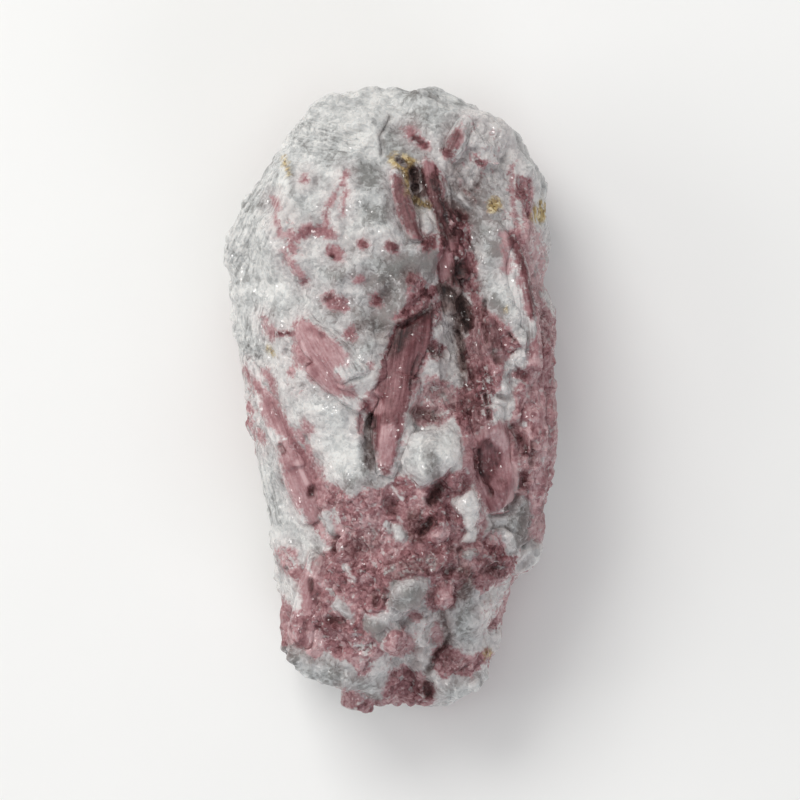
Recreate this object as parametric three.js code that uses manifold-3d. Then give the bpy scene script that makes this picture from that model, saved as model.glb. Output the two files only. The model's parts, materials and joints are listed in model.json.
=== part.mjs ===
// Rubellite tourmaline: a hand specimen of pink prisms in a white quartz and feldspar matrix.
// The stone lies on its flattest face. Y runs along its length, X across it and Z up, in millimetres.
// The origin is the middle of its footprint, at the level that it rests on.
import * as THREE from "three";
import { mergeVertices } from "three/addons/utils/BufferGeometryUtils.js";
import Module from "manifold-3d";

const wasm = await Module();
wasm.setup();

// Driving dimensions
const LENGTH = 78.6;
const SEAT_GAP = 0.3; // between a crystal and the socket that it grew in
const FACET_ROWS = 12; // rows of facets across each of the twenty sides of the net that the stone starts from
const END_ROUNDING = 0.15; // share of the net over which its ends close

// The widest outline, seen from above: [distance along the stone, half-breadth to that side]
const HEAD_Y = 39.5;
const TAIL_Y = HEAD_Y - LENGTH;
const LEFT_OUTLINE = [
  [-39.1, -0.4], [-37.5, -3.8], [-36.5, -7.2], [-35.5, -9.8], [-33.6, -13.6], [-31.5, -15.5], [-28.5, -14.6],
  [-25.5, -14.0], [-22.6, -14.5], [-18.5, -15.5], [-13.5, -15.5], [-9.5, -16.3], [-5.5, -17.4],
  [-1.5, -18.3], [4.5, -19.6], [10.5, -20.2], [16.5, -20.1], [20.5, -20.1], [22.5, -19.6],
  [26.5, -17.1], [30.5, -14.8], [32.5, -13.1], [34.5, -11.8], [36.5, -9.8], [37.7, -7.2], [39.5, -4.2],
];
const RIGHT_OUTLINE = [
  [-39.1, 5.6], [-37.5, 8.7], [-35.5, 10.5], [-33.6, 12.8], [-31.5, 13.7], [-28.5, 13.6],
  [-25.5, 14.0], [-23.4, 14.8], [-21.5, 17.4], [-19.6, 18.6], [-14.5, 18.9], [-9.5, 19.6],
  [-5.5, 20.3], [0.5, 20.5], [6.5, 20.0], [10.5, 19.0], [14.5, 18.0], [18.5, 19.0],
  [22.5, 19.3], [26.5, 19.1], [30.5, 17.0], [32.5, 15.6], [34.5, 11.8], [36.5, 9.2], [37.7, 7.6], [39.5, 4.6],
];
// Heights along the stone: [distance, height] of its crest, its widest level and its underside
const CREST = [
  [-39.1, 11], [-36, 17], [-31, 22.5], [-24, 26.5], [-14, 28.5], [-4, 29], [6, 29.5],
  [16, 29.5], [24, 28], [30, 25.5], [35, 22], [38.9, 17.5],
];
const WAIST = [[-39.1, 8.5], [-30, 10.5], [-10, 12.5], [10, 13.5], [28, 13.5], [38.9, 13]];
const UNDERSIDE = [
  [-39.1, 6], [-35, 2.2], [-28, -0.6], [-15, -1.5], [5, -1.7], [20, -1.2], [30, 0.6], [35, 3.4], [38.9, 8.5],
];
const FRONT_FULLNESS = 2.15; // superellipse exponent: 2 is an ellipse, more is boxier
const BACK_FULLNESS = 2.6;

// Swells and hollows of the face that lies up: a stroke from one point to another, how far it
// reaches to the side, and its rise above the plain form (negative for a hollow)
const FACE_RELIEF = {
  left_dome: { from: [-8, 22], to: [-6, 11], reach: 8.5, rise: 1.5 },
  left_shoulder: { from: [-13, 28], to: [-13.5, 9], reach: 2.2, rise: 1.1 },
  lower_left_swell: { from: [-6.5, 4], to: [-5.5, -5], reach: 5, rise: 1.3 },
  crown_step: { from: [-2, 33], to: [1.5, 28], reach: 1.8, rise: 0.9 },
  cavity: { from: [2.2, 28], to: [2.8, 24.5], reach: 1.8, rise: -3.0 },
  gully_head: { from: [6.5, 24], to: [7.5, 16], reach: 3.0, rise: -2.6 },
  gully: { from: [8.0, 14], to: [9.0, 6], reach: 3.0, rise: -4.6 },
  gully_foot: { from: [8.6, 5], to: [11.6, -4], reach: 2.6, rise: -1.7 },
  column_shadow: { from: [4.4, 9.6], to: [0.2, 5.6], reach: 1.2, rise: -1.8 },
  column_slot: { from: [-1.4, 1], to: [-1.8, -6.5], reach: 1.2, rise: -1.9 },
  right_block: { from: [14.0, 20], to: [14.4, 9.5], reach: 3.0, rise: 1.6 },
  right_flank: { from: [18.8, 3], to: [19, -9], reach: 3.2, rise: 0.9 },
  scoop_bed: { from: [13.2, -4], to: [13.4, -12], reach: 3, rise: -0.9 },
  pit: { from: [5.7, -12], to: [6.1, -13.2], reach: 1.3, rise: -1.9 },
  lower_hollow: { from: [7.5, -16.4], to: [3.4, -19], reach: 2.2, rise: -1.1 },
  right_hollow: { from: [14.6, -15], to: [15.6, -19], reach: 2.0, rise: -1.5 },
  foot_recess: { from: [6.8, -31], to: [2.0, -35.5], reach: 1.9, rise: -2.3 },
  foot_ledge: { from: [-12.4, -31.6], to: [-2.5, -35.6], reach: 2.4, rise: 1.6 },
  foot_right: { from: [7, -35], to: [12, -32], reach: 2.4, rise: 0.8 },
  foot_mass: { from: [-9, -26], to: [-3, -27], reach: 3.2, rise: 0.9 },
};
const UNDER_RELIEF = {
  under_swell: { from: [-13, 18], to: [-12, 2], reach: 4.5, rise: 1.2 },
  under_hollow: { from: [14, 10], to: [15, -6], reach: 3, rise: -1.4 },
  under_groove: { from: [-13, -6], to: [-9, -22], reach: 1.8, rise: -1.4 },
};
// Broken surfaces: patches of this size, each tilted and stepped against its neighbours
const FRACTURES = [
  { size: 12, tilt: 0.13, step: 1.4 },
  { size: 6.4, tilt: 0.15, step: 1.2 },
];
const FRACTURE_EDGE = 0.21; // how far one patch runs into the next, as a share of its size
const RIM_FRACTURE = 0.45; // share of the roughness that the upright sides and ends have
// Where the stone is a coarse mass of grains, and how big and how high they are
const GRANULAR_MASS = {
  lower_middle: { from: [-7, -13], to: [2, -19], reach: 6.5, rise: 1 },
  lower_left: { from: [-10, -26], to: [-4, -29], reach: 4.5, rise: 1 },
  lower_right: { from: [8, -15], to: [15, -21], reach: 5, rise: 1 },
  right_flank: { from: [17, 4], to: [18, -10], reach: 4, rise: 1 },
};
const GRAINS = { size: 3.6, tilt: 0.1, step: 1.7 };

// Blocky feldspar grains that stand out of the matrix: middle on the face, size across, along
// and through, turn in degrees, and how far the grain stands proud
const FELDSPAR_BLOCKS = {
  middle_lump: { at: [4.7, -7.2], size: [7.2, 7.4, 7], turn: 20, proud: 1.9 },
  right_chip: { at: [15.2, -0.8], size: [3, 6, 5], turn: 8, proud: 0.9 },
  right_tooth: { at: [15.6, 6.6], size: [3.2, 4.4, 5], turn: 24, proud: 1.2 },
  grey_lump: { at: [1.6, -23.8], size: [6, 5.6, 6], turn: 35, proud: 1.3 },
  low_right_mass: { at: [10.6, -27.2], size: [7.6, 8.4, 7], turn: -12, proud: 1.1 },
  low_middle: { at: [2.9, -29.2], size: [5, 6.2, 6], turn: 40, proud: 1.5 },
  foot_slab: { at: [-6.8, -34.6], size: [13, 4, 6], turn: -27, proud: 0.7 },
  foot_tooth: { at: [9.4, -35.6], size: [7, 3.4, 6], turn: 26, proud: 0.9 },
  right_corner: { at: [17.1, -20.3], size: [3.4, 4.8, 6], turn: -18, proud: 0.6 },
  left_lobe: { at: [-12.2, -22.8], size: [3.2, 5, 5], turn: 16, proud: 0.8 },
  gully_chip: { at: [7.0, 21.0], size: [2.2, 3.4, 4], turn: 28, proud: 1.1 },
  pale_block: { at: [9.4, -13.6], size: [4.2, 5.8, 5], turn: 10, proud: 1.2 },
};
const GRAIN_SWELL = 1.26; // from a grain's size to that of the ball around its corners
const CROWN_PLATES = {
  crown_plate_left: { at: [-6, 33.5], size: [8, 5, 5], turn: 24, proud: 0.8 },
  crown_plate_right: { at: [10.5, 31.6], size: [8, 4.5, 5], turn: -38, proud: 0.8 },
};

// Rubellite prisms. Each runs from one point of the face to another, is so wide and thick, stands
// proud of the stone by so much at either end, and narrows towards its ends by the given shares.
// One with a level instead sticks out of the stone's rim at that height.
const RUBELLITE = {
  rubellite_middle_column: [
    { from: [4.6, 10.4], to: [-0.8, -0.6], wide: 6.4, thick: 6.6, proud: [0.4, 2.3], narrow: [0.3, 0.05] },
    { from: [1.2, 2.4], to: [-0.7, -9.6], wide: 4.8, thick: 5.6, proud: [2.0, 1.5], narrow: [0.15, 0.45] },
  ],
  rubellite_gully_prism: [
    { from: [4.0, 29.0], to: [7.6, 14.6], wide: 3.8, thick: 5.0, proud: [1.5, 2.2], narrow: [0.2, 0.1] },
    { from: [6.2, 21.6], to: [7.3, 10.6], wide: 3.0, thick: 4.6, proud: [1.5, 1.6], narrow: [0.2, 0.35] },
  ],
  rubellite_cavity_needle: [
    { from: [0.0, 27.6], to: [2.6, 19.2], wide: 2.2, thick: 3.6, proud: [1.2, 1.2], narrow: [0.35, 0.15] },
  ],
  rubellite_right_flank_bundle: [
    { from: [14.6, 21.6], to: [17.2, 3.6], wide: 4.0, thick: 5.4, proud: [1.3, 1.4], narrow: [0.45, 0.1] },
    { from: [16.2, 10.6], to: [18.2, -7.4], wide: 4.8, thick: 5.8, proud: [1.1, 1.4], narrow: [0.3, 0.15] },
    { from: [17.6, -1.6], to: [17.6, -14.4], wide: 4.0, thick: 5.4, proud: [1.3, 1.3], narrow: [0.2, 0.3] },
  ],
  rubellite_left_flank_bundle: [
    { from: [-17.7, 3.8], to: [-12.2, -9.0], wide: 3.2, thick: 4.2, proud: [1.0, 1.3], narrow: [0.45, 0.1] },
    { from: [-14.6, -2.8], to: [-10.4, -15.4], wide: 5.0, thick: 5.0, proud: [1.1, 1.5], narrow: [0.4, 0.3] },
  ],
  rubellite_left_plates: [
    { from: [-11.2, 8.8], to: [-4.8, 2.2], wide: 5.0, thick: 4.4, proud: [1.1, 1.3], narrow: [0.2, 0.25] },
    { from: [-9.8, 3.6], to: [-4.0, -1.6], wide: 2.6, thick: 3.6, proud: [1.1, 1.1], narrow: [0.25, 0.3] },
  ],
  rubellite_shell: [
    { from: [11.4, -1.6], to: [13.1, -14.2], wide: 5.8, thick: 6.6, proud: [2.1, 2.4], narrow: [0.25, 0.4] },
  ],
  rubellite_inner_rod: [
    { from: [11.2, 9.4], to: [13.2, 0.6], wide: 2.8, thick: 3.8, proud: [1.7, 1.6], narrow: [0.25, 0.2] },
  ],
  rubellite_tail_column: [
    { from: [-9.6, -20.0], to: [-12, -30.4], wide: 3.8, thick: 4.6, proud: [1.2, 1.4], narrow: [0.25, 0.15] },
  ],
  rubellite_tail_end: [
    { from: [-3.0, -32.8], to: [-4.7, -38.9], level: 11.5, wide: 4.6, thick: 4.4, narrow: [0.1, 0.2] },
  ],
  rubellite_crown_rod: [
    { from: [8.9, 34.0], to: [7.1, 30.0], wide: 2.2, thick: 3.2, proud: [1.1, 1.2], narrow: [0.25, 0.15] },
  ],
};
// Prisms seen end-on: they come straight out of the face
const RUBELLITE_STUBS = {
  rubellite_round_stub: { at: [5.9, -24.2], wide: 3.2, deep: 5, proud: 1.6 },
  rubellite_pair_stub: { at: [-0.4, -29.8], wide: 4.2, deep: 5, proud: 1.5 },
};
// Prisms of the underside's left and right haunches, which the stone's resting face leaves clear
const UNDER_RUBELLITE = {
  rubellite_under_left: [
    { from: [-18.2, 14.6], to: [-16.8, 1.2], wide: 3.4, thick: 4.2, proud: [0.8, 0.9], narrow: [0.3, 0.2] },
  ],
  rubellite_under_right: [
    { from: [17.2, 15.4], to: [17.8, 2.4], wide: 3.4, thick: 4.2, proud: [0.8, 0.8], narrow: [0.25, 0.3] },
  ],
};
const PRISM_SIDES = 10;
const PRISM_STEPS = 3;
const PRISM_TAPER = 2.6; // a prism narrows over one part in this many of its length, at each end
const STRIATION = 0.09; // share of the radius that ridges and grooves along a prism take

const SHELL_SCOOP = { at: [12.0, -8.4], radius: 6.2, lift: 5.1 }; // the curved break in the shell crystal

const MATRIX = new THREE.MeshStandardMaterial({
  name: "matrix", color: 0xc9c7c4, roughness: 0.62, metalness: 0,
});
const TOURMALINE = new THREE.MeshStandardMaterial({
  name: "tourmaline", color: 0x96686c, roughness: 0.42, metalness: 0,
});

// The value at a place in a list of [place, value] points, straight between them.
function along(points, place) {
  const last = points.length - 1;
  if (place <= points[0][0]) return points[0][1];
  if (place >= points[last][0]) return points[last][1];
  const i = points.findIndex((point) => point[0] > place) - 1;
  const [x0, y0] = points[i];
  const [x1, y1] = points[i + 1];
  return y0 + ((y1 - y0) * (place - x0)) / (x1 - x0);
}

// A repeatable number from 0 to 1 for three whole numbers and a salt.
function chance(i, j, k, salt) {
  const wave = Math.sin(i * 127.1 + j * 311.7 + k * 74.7 + salt * 53.9) * 43758.5453;
  return wave - Math.floor(wave);
}

// The offset of a broken surface at a point: tilted patches that meet in soft edges.
function fracture(point, { size, tilt, step }, salt) {
  const home = point.clone().divideScalar(size).floor();
  const softness = FRACTURE_EDGE * size;
  let weights = 0;
  let offset = 0;
  for (let n = 0; n < 27; n++) {
    const i = home.x + (n % 3) - 1;
    const j = home.y + (Math.floor(n / 3) % 3) - 1;
    const k = home.z + Math.floor(n / 9) - 1;
    const pick = (m) => chance(i, j, k, salt + m);
    const seed = new THREE.Vector3(i + pick(0), j + pick(1), k + pick(2)).multiplyScalar(size);
    const lean = new THREE.Vector3(pick(3) - 0.5, pick(4) - 0.5, pick(5) - 0.5).multiplyScalar(4 * tilt);
    const weight = Math.exp(-((seed.distanceTo(point) / softness) ** 2) / 2);
    offset += weight * (point.clone().sub(seed).dot(lean) + (pick(6) - 0.5) * step);
    weights += weight;
  }
  return offset / Math.max(weights, 1e-9);
}

// How far a set of strokes lifts or sinks the surface at a place seen from above.
function relief(strokes, x, y) {
  let lift = 0;
  for (const { from, to, reach, rise } of Object.values(strokes)) {
    const dx = to[0] - from[0];
    const dy = to[1] - from[1];
    const t = THREE.MathUtils.clamp(((x - from[0]) * dx + (y - from[1]) * dy) / (dx * dx + dy * dy), 0, 1);
    const away = Math.hypot(x - from[0] - t * dx, y - from[1] - t * dy) / reach;
    lift += rise * Math.exp(-(away ** 2.6));
  }
  return lift;
}

// How far a superellipse of this fullness reaches along one axis, for the cosine or sine of a turn.
function reachOf(part, fullness) {
  return Math.sign(part) * Math.abs(part) ** (2 / fullness);
}

// The stone's plain form: an even net, drawn over a superellipse at each station along the length.
function plainForm() {
  const net = new THREE.IcosahedronGeometry(1, FACET_ROWS - 1);
  net.deleteAttribute("normal");
  net.deleteAttribute("uv");
  const geometry = mergeVertices(net, 1e-4);
  const places = geometry.getAttribute("position");
  for (let i = 0; i < places.count; i++) {
    const knot = new THREE.Vector3().fromBufferAttribute(places, i);
    const y = TAIL_Y + (LENGTH * (knot.y + 1)) / 2;
    const radius = Math.hypot(knot.x, knot.z);
    const closing = Math.min(1, radius / END_ROUNDING) / Math.max(radius, 1e-9);
    const fullness = knot.z >= 0 ? FRONT_FULLNESS : BACK_FULLNESS;
    const left = along(LEFT_OUTLINE, y);
    const right = along(RIGHT_OUTLINE, y);
    const waist = along(WAIST, y);
    const depth = knot.z >= 0 ? along(CREST, y) - waist : waist - along(UNDERSIDE, y);
    const x = (left + right) / 2 + ((right - left) / 2) * reachOf(knot.x * closing, fullness);
    places.setXYZ(i, x, y, waist + depth * reachOf(knot.z * closing, fullness));
  }
  return geometry;
}

// The plain form with its swells, hollows and broken surfaces.
function craggyForm() {
  const geometry = plainForm();
  geometry.computeVertexNormals();
  const places = geometry.getAttribute("position");
  const normals = geometry.getAttribute("normal");
  for (let i = 0; i < places.count; i++) {
    const point = new THREE.Vector3().fromBufferAttribute(places, i);
    const normal = new THREE.Vector3().fromBufferAttribute(normals, i);
    const above = THREE.MathUtils.smoothstep(normal.z, 0.05, 0.5);
    const below = THREE.MathUtils.smoothstep(-normal.z, 0.05, 0.5);
    let lift = above * relief(FACE_RELIEF, point.x, point.y) + below * relief(UNDER_RELIEF, point.x, point.y);
    FRACTURES.forEach((kind, n) => {
      lift += THREE.MathUtils.lerp(RIM_FRACTURE, 1, Math.abs(normal.z)) * fracture(point, kind, 10 * n + 3);
    });
    lift += above * Math.min(1, relief(GRANULAR_MASS, point.x, point.y)) * fracture(point, GRAINS, 91);
    point.addScaledVector(normal, lift);
    places.setXYZ(i, point.x, point.y, point.z);
  }
  return geometry;
}

function solidFrom(geometry) {
  const bare = geometry.clone();
  bare.deleteAttribute("normal");
  bare.deleteAttribute("uv");
  const merged = mergeVertices(bare, 1e-4);
  return new wasm.Manifold(
    new wasm.Mesh({
      numProp: 3,
      vertProperties: new Float32Array(merged.getAttribute("position").array),
      triVerts: new Uint32Array(merged.index.array),
    }),
  );
}

function geometryFrom(solid) {
  const mesh = solid.getMesh();
  const geometry = new THREE.BufferGeometry();
  geometry.setAttribute("position", new THREE.BufferAttribute(mesh.vertProperties, 3));
  geometry.setIndex(new THREE.BufferAttribute(mesh.triVerts, 1));
  geometry.computeVertexNormals();
  return geometry;
}

function joined(solids) {
  return solids.reduce((whole, solid) => whole.add(solid));
}

// The biggest body of a solid, without the chips that a cut can leave.
function biggest(solid) {
  return solid.decompose().sort((a, b) => b.volume() - a.volume())[0];
}

// Where the stone's bare surface is above or below a place, and which way it faces there. The
// slope is taken between points that lie this far to each side.
const FEELER = 1.2;
const bareStone = new THREE.Mesh(craggyForm(), new THREE.MeshBasicMaterial({ side: THREE.DoubleSide }));
function surfaceAt([x, y], fromBelow = false) {
  const inwards = new THREE.Vector3(0, 0, fromBelow ? 1 : -1);
  const touch = (dx, dy) => {
    const start = new THREE.Vector3(x + dx, y + dy, fromBelow ? -LENGTH : LENGTH);
    return new THREE.Raycaster(start, inwards).intersectObject(bareStone)[0]?.point;
  };
  const point = touch(0, 0);
  const heightAt = (dx, dy) => (touch(dx, dy) ?? point).z;
  const slope = new THREE.Vector3(
    heightAt(-FEELER, 0) - heightAt(FEELER, 0), heightAt(0, -FEELER) - heightAt(0, FEELER), 2 * FEELER,
  );
  return { point, normal: fromBelow ? slope.normalize().negate() : slope.normalize() };
}

// A prism's many-sided section, a little ridged, with flat faces between its corners.
function prismSection(wide, thick, salt, grow) {
  const corners = [];
  for (let i = 0; i < PRISM_SIDES; i++) {
    const turn = (2 * Math.PI * (i + 0.4 * chance(i, 1, 0, salt))) / PRISM_SIDES;
    const ridge = 1 - STRIATION * (i % 2) - STRIATION * chance(i, 2, 0, salt);
    corners.push(
      new THREE.Vector2(
        Math.cos(turn) * ((wide / 2) * ridge + grow), Math.sin(turn) * ((thick / 2) * ridge + grow),
      ),
    );
  }
  return new THREE.Shape(corners);
}

// A prism between two points, its thickness along the given outward direction.
function prism(start, end, outward, { wide, thick, narrow }, salt, grow = 0) {
  const axis = end.clone().sub(start);
  const length = axis.length() + 2 * grow;
  const geometry = new THREE.ExtrudeGeometry(prismSection(wide, thick, salt, grow * 1.15), {
    depth: length, steps: PRISM_STEPS, bevelEnabled: false,
  });
  const places = geometry.getAttribute("position");
  for (let i = 0; i < places.count; i++) {
    const [x, y, z] = [places.getX(i), places.getY(i), places.getZ(i)];
    const share = z / length;
    const fromStart = Math.max(0, 1 - PRISM_TAPER * share);
    const fromEnd = Math.max(0, 1 - PRISM_TAPER * (1 - share));
    const pinch = 1 - narrow[0] * fromStart - narrow[1] * fromEnd;
    const isEnd = share < 0.01 || share > 0.99;
    const tilt = isEnd ? chance(salt, Math.round(share), 3, 7) - 0.2 : 0;
    places.setXYZ(i, x * pinch, y * pinch, z - length / 2 + tilt * (0.35 * x - 0.25 * y));
  }
  const lengthwise = axis.clone().normalize();
  const sideways = outward.clone().cross(lengthwise).normalize();
  const frame = new THREE.Matrix4().makeBasis(sideways, lengthwise.clone().cross(sideways), lengthwise);
  frame.setPosition(start.clone().add(end).divideScalar(2));
  return solidFrom(geometry.applyMatrix4(frame));
}

// A prism bedded along the stone's surface. fromBelow beds it in the underside.
function beddedPrism(spec, salt, grow, fromBelow = false) {
  if (spec.level) {
    const [start, end] = [spec.from, spec.to].map(([x, y]) => new THREE.Vector3(x, y, spec.level));
    return prism(start, end, new THREE.Vector3(0, 0, 1), spec, salt, grow);
  }
  const first = surfaceAt(spec.from, fromBelow);
  const second = surfaceAt(spec.to, fromBelow);
  const outward = first.normal.clone().add(second.normal).normalize();
  const start = first.point.clone().addScaledVector(outward, spec.proud[0] - spec.thick / 2);
  const end = second.point.clone().addScaledVector(outward, spec.proud[1] - spec.thick / 2);
  return prism(start, end, outward, spec, salt, grow);
}

// A prism that stands on end in the stone and shows its head.
function stubPrism({ at, wide, deep, proud }, salt, grow) {
  const { point, normal } = surfaceAt(at);
  const head = point.clone().addScaledVector(normal, proud);
  const root = point.clone().addScaledVector(normal, -deep);
  const sideways = new THREE.Vector3(0, 1, 0).cross(normal).normalize();
  return prism(root, head, sideways, { wide, thick: wide * 0.9, narrow: [0.1, 0.3] }, salt, grow);
}

// A blocky grain with flat, uneven faces.
function block({ at, size, turn, proud }, salt) {
  const { point, normal } = surfaceAt(at);
  const middle = point.clone().addScaledVector(normal, proud - size[2] / 2);
  const upright = new THREE.Quaternion().setFromUnitVectors(new THREE.Vector3(0, 0, 1), normal);
  const lean = new THREE.Euler(
    (chance(salt, 1, 0, 5) - 0.5) * 0.6, (chance(salt, 2, 0, 5) - 0.5) * 0.6, THREE.MathUtils.degToRad(turn),
  );
  const spin = upright.multiply(new THREE.Quaternion().setFromEuler(lean));
  const stretch = new THREE.Vector3(...size).multiplyScalar(GRAIN_SWELL / 2);
  const pose = new THREE.Matrix4().compose(middle, spin, stretch);
  return solidFrom(new THREE.DodecahedronGeometry(1).applyMatrix4(pose));
}

// The scooped, curved break on the shell crystal's face, as a ball to cut away.
function shellScoop() {
  const { point, normal } = surfaceAt(SHELL_SCOOP.at);
  const centre = point.clone().addScaledVector(normal, SHELL_SCOOP.lift);
  return solidFrom(new THREE.IcosahedronGeometry(SHELL_SCOOP.radius, 2).translate(...centre));
}

// Crystals by name, each as its solid and the socket that it sits in.
function allCrystals() {
  const crystals = new Map();
  let salt = 1;
  const bed = (group, fromBelow) => {
    for (const [name, prisms] of Object.entries(group)) {
      const salts = prisms.map(() => salt++);
      const make = (grow) =>
        joined(prisms.map((spec, n) => beddedPrism(spec, salts[n], grow, fromBelow)));
      crystals.set(name, { solid: make(0), socket: make(SEAT_GAP) });
    }
  };
  bed(RUBELLITE, false);
  bed(UNDER_RUBELLITE, true);
  for (const [name, spec] of Object.entries(RUBELLITE_STUBS)) {
    crystals.set(name, { solid: stubPrism(spec, salt, 0), socket: stubPrism(spec, salt, SEAT_GAP) });
    salt++;
  }
  const shell = crystals.get("rubellite_shell");
  shell.solid = biggest(shell.solid.subtract(shellScoop()));
  return crystals;
}

// All that lies below the level that the stone rests on, which planes its lowest face flat.
function belowGround() {
  const depth = 20;
  return solidFrom(new THREE.BoxGeometry(2 * LENGTH, 2 * LENGTH, depth).translate(0, 0, -depth / 2));
}

function matrixSolid(crystals) {
  const grains = Object.values({ ...FELDSPAR_BLOCKS, ...CROWN_PLATES }).map((spec, n) => block(spec, 40 + n));
  let stone = solidFrom(bareStone.geometry).add(joined(grains)).subtract(belowGround());
  for (const { socket } of crystals.values()) stone = stone.subtract(socket);
  return biggest(stone);
}

function specimen() {
  const crystals = allCrystals();
  const stone = new THREE.Group();
  const add = (name, solid, material) => {
    const mesh = new THREE.Mesh(geometryFrom(solid), material);
    mesh.name = name;
    stone.add(mesh);
  };
  add("matrix", matrixSolid(crystals), MATRIX);
  for (const [name, { solid }] of crystals) add(name, solid, TOURMALINE);
  const box = new THREE.Box3().setFromObject(stone);
  const middle = box.getCenter(new THREE.Vector3());
  stone.position.set(-middle.x, -middle.y, -box.min.z);
  return stone;
}

const rubelliteTourmaline = specimen();
export default rubelliteTourmaline;
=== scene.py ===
"""Rubellite tourmaline specimen: the finished surfaces of a loose stone of white quartz with pink prisms.

The stone lies on its flat face with Z up and Y along its length. Lengths in the tables are in millimetres,
and the meshes are in metres.
"""
import json
import math

import bpy
import numpy as np
from bpy.props import FloatProperty, FloatVectorProperty, IntProperty, PointerProperty
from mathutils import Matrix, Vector
from mathutils.bvhtree import BVHTree

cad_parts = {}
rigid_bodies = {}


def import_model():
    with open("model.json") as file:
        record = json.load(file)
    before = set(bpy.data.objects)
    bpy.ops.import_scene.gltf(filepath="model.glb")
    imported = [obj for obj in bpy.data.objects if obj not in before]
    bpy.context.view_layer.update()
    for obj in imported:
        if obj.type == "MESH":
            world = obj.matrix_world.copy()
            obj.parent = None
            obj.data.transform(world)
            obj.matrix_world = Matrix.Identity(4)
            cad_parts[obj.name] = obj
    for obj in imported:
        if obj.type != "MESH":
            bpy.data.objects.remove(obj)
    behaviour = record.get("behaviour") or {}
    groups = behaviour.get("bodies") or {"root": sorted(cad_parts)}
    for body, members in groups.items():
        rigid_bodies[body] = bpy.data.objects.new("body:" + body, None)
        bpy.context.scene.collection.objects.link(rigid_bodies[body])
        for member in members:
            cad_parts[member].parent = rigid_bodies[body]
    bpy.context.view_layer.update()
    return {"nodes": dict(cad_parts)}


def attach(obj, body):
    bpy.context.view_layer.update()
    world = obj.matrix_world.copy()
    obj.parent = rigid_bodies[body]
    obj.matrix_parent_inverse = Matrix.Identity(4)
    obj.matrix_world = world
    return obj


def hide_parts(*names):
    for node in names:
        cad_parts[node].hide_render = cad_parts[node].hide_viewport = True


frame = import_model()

bl_info = {
    "name": "Rubellite specimen",
    "version": (1, 0, 0),
    "blender": (4, 5, 0),
    "location": "View3D > Sidebar > Specimen",
    "description": "Makes a rough stone with rubellite prisms from its plain solids",
    "category": "Add Mesh",
}

MM = 0.001
STONE = "matrix"
PRISMS = sorted(name for name in frame["nodes"] if name != STONE)

# The stone's face as it is seen from above. A mark is a tone, a reach and its points: with a reach it is a
# stroke that wide to each side, and with 0 it is the outline of an area. Later marks lie over earlier ones.

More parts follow.
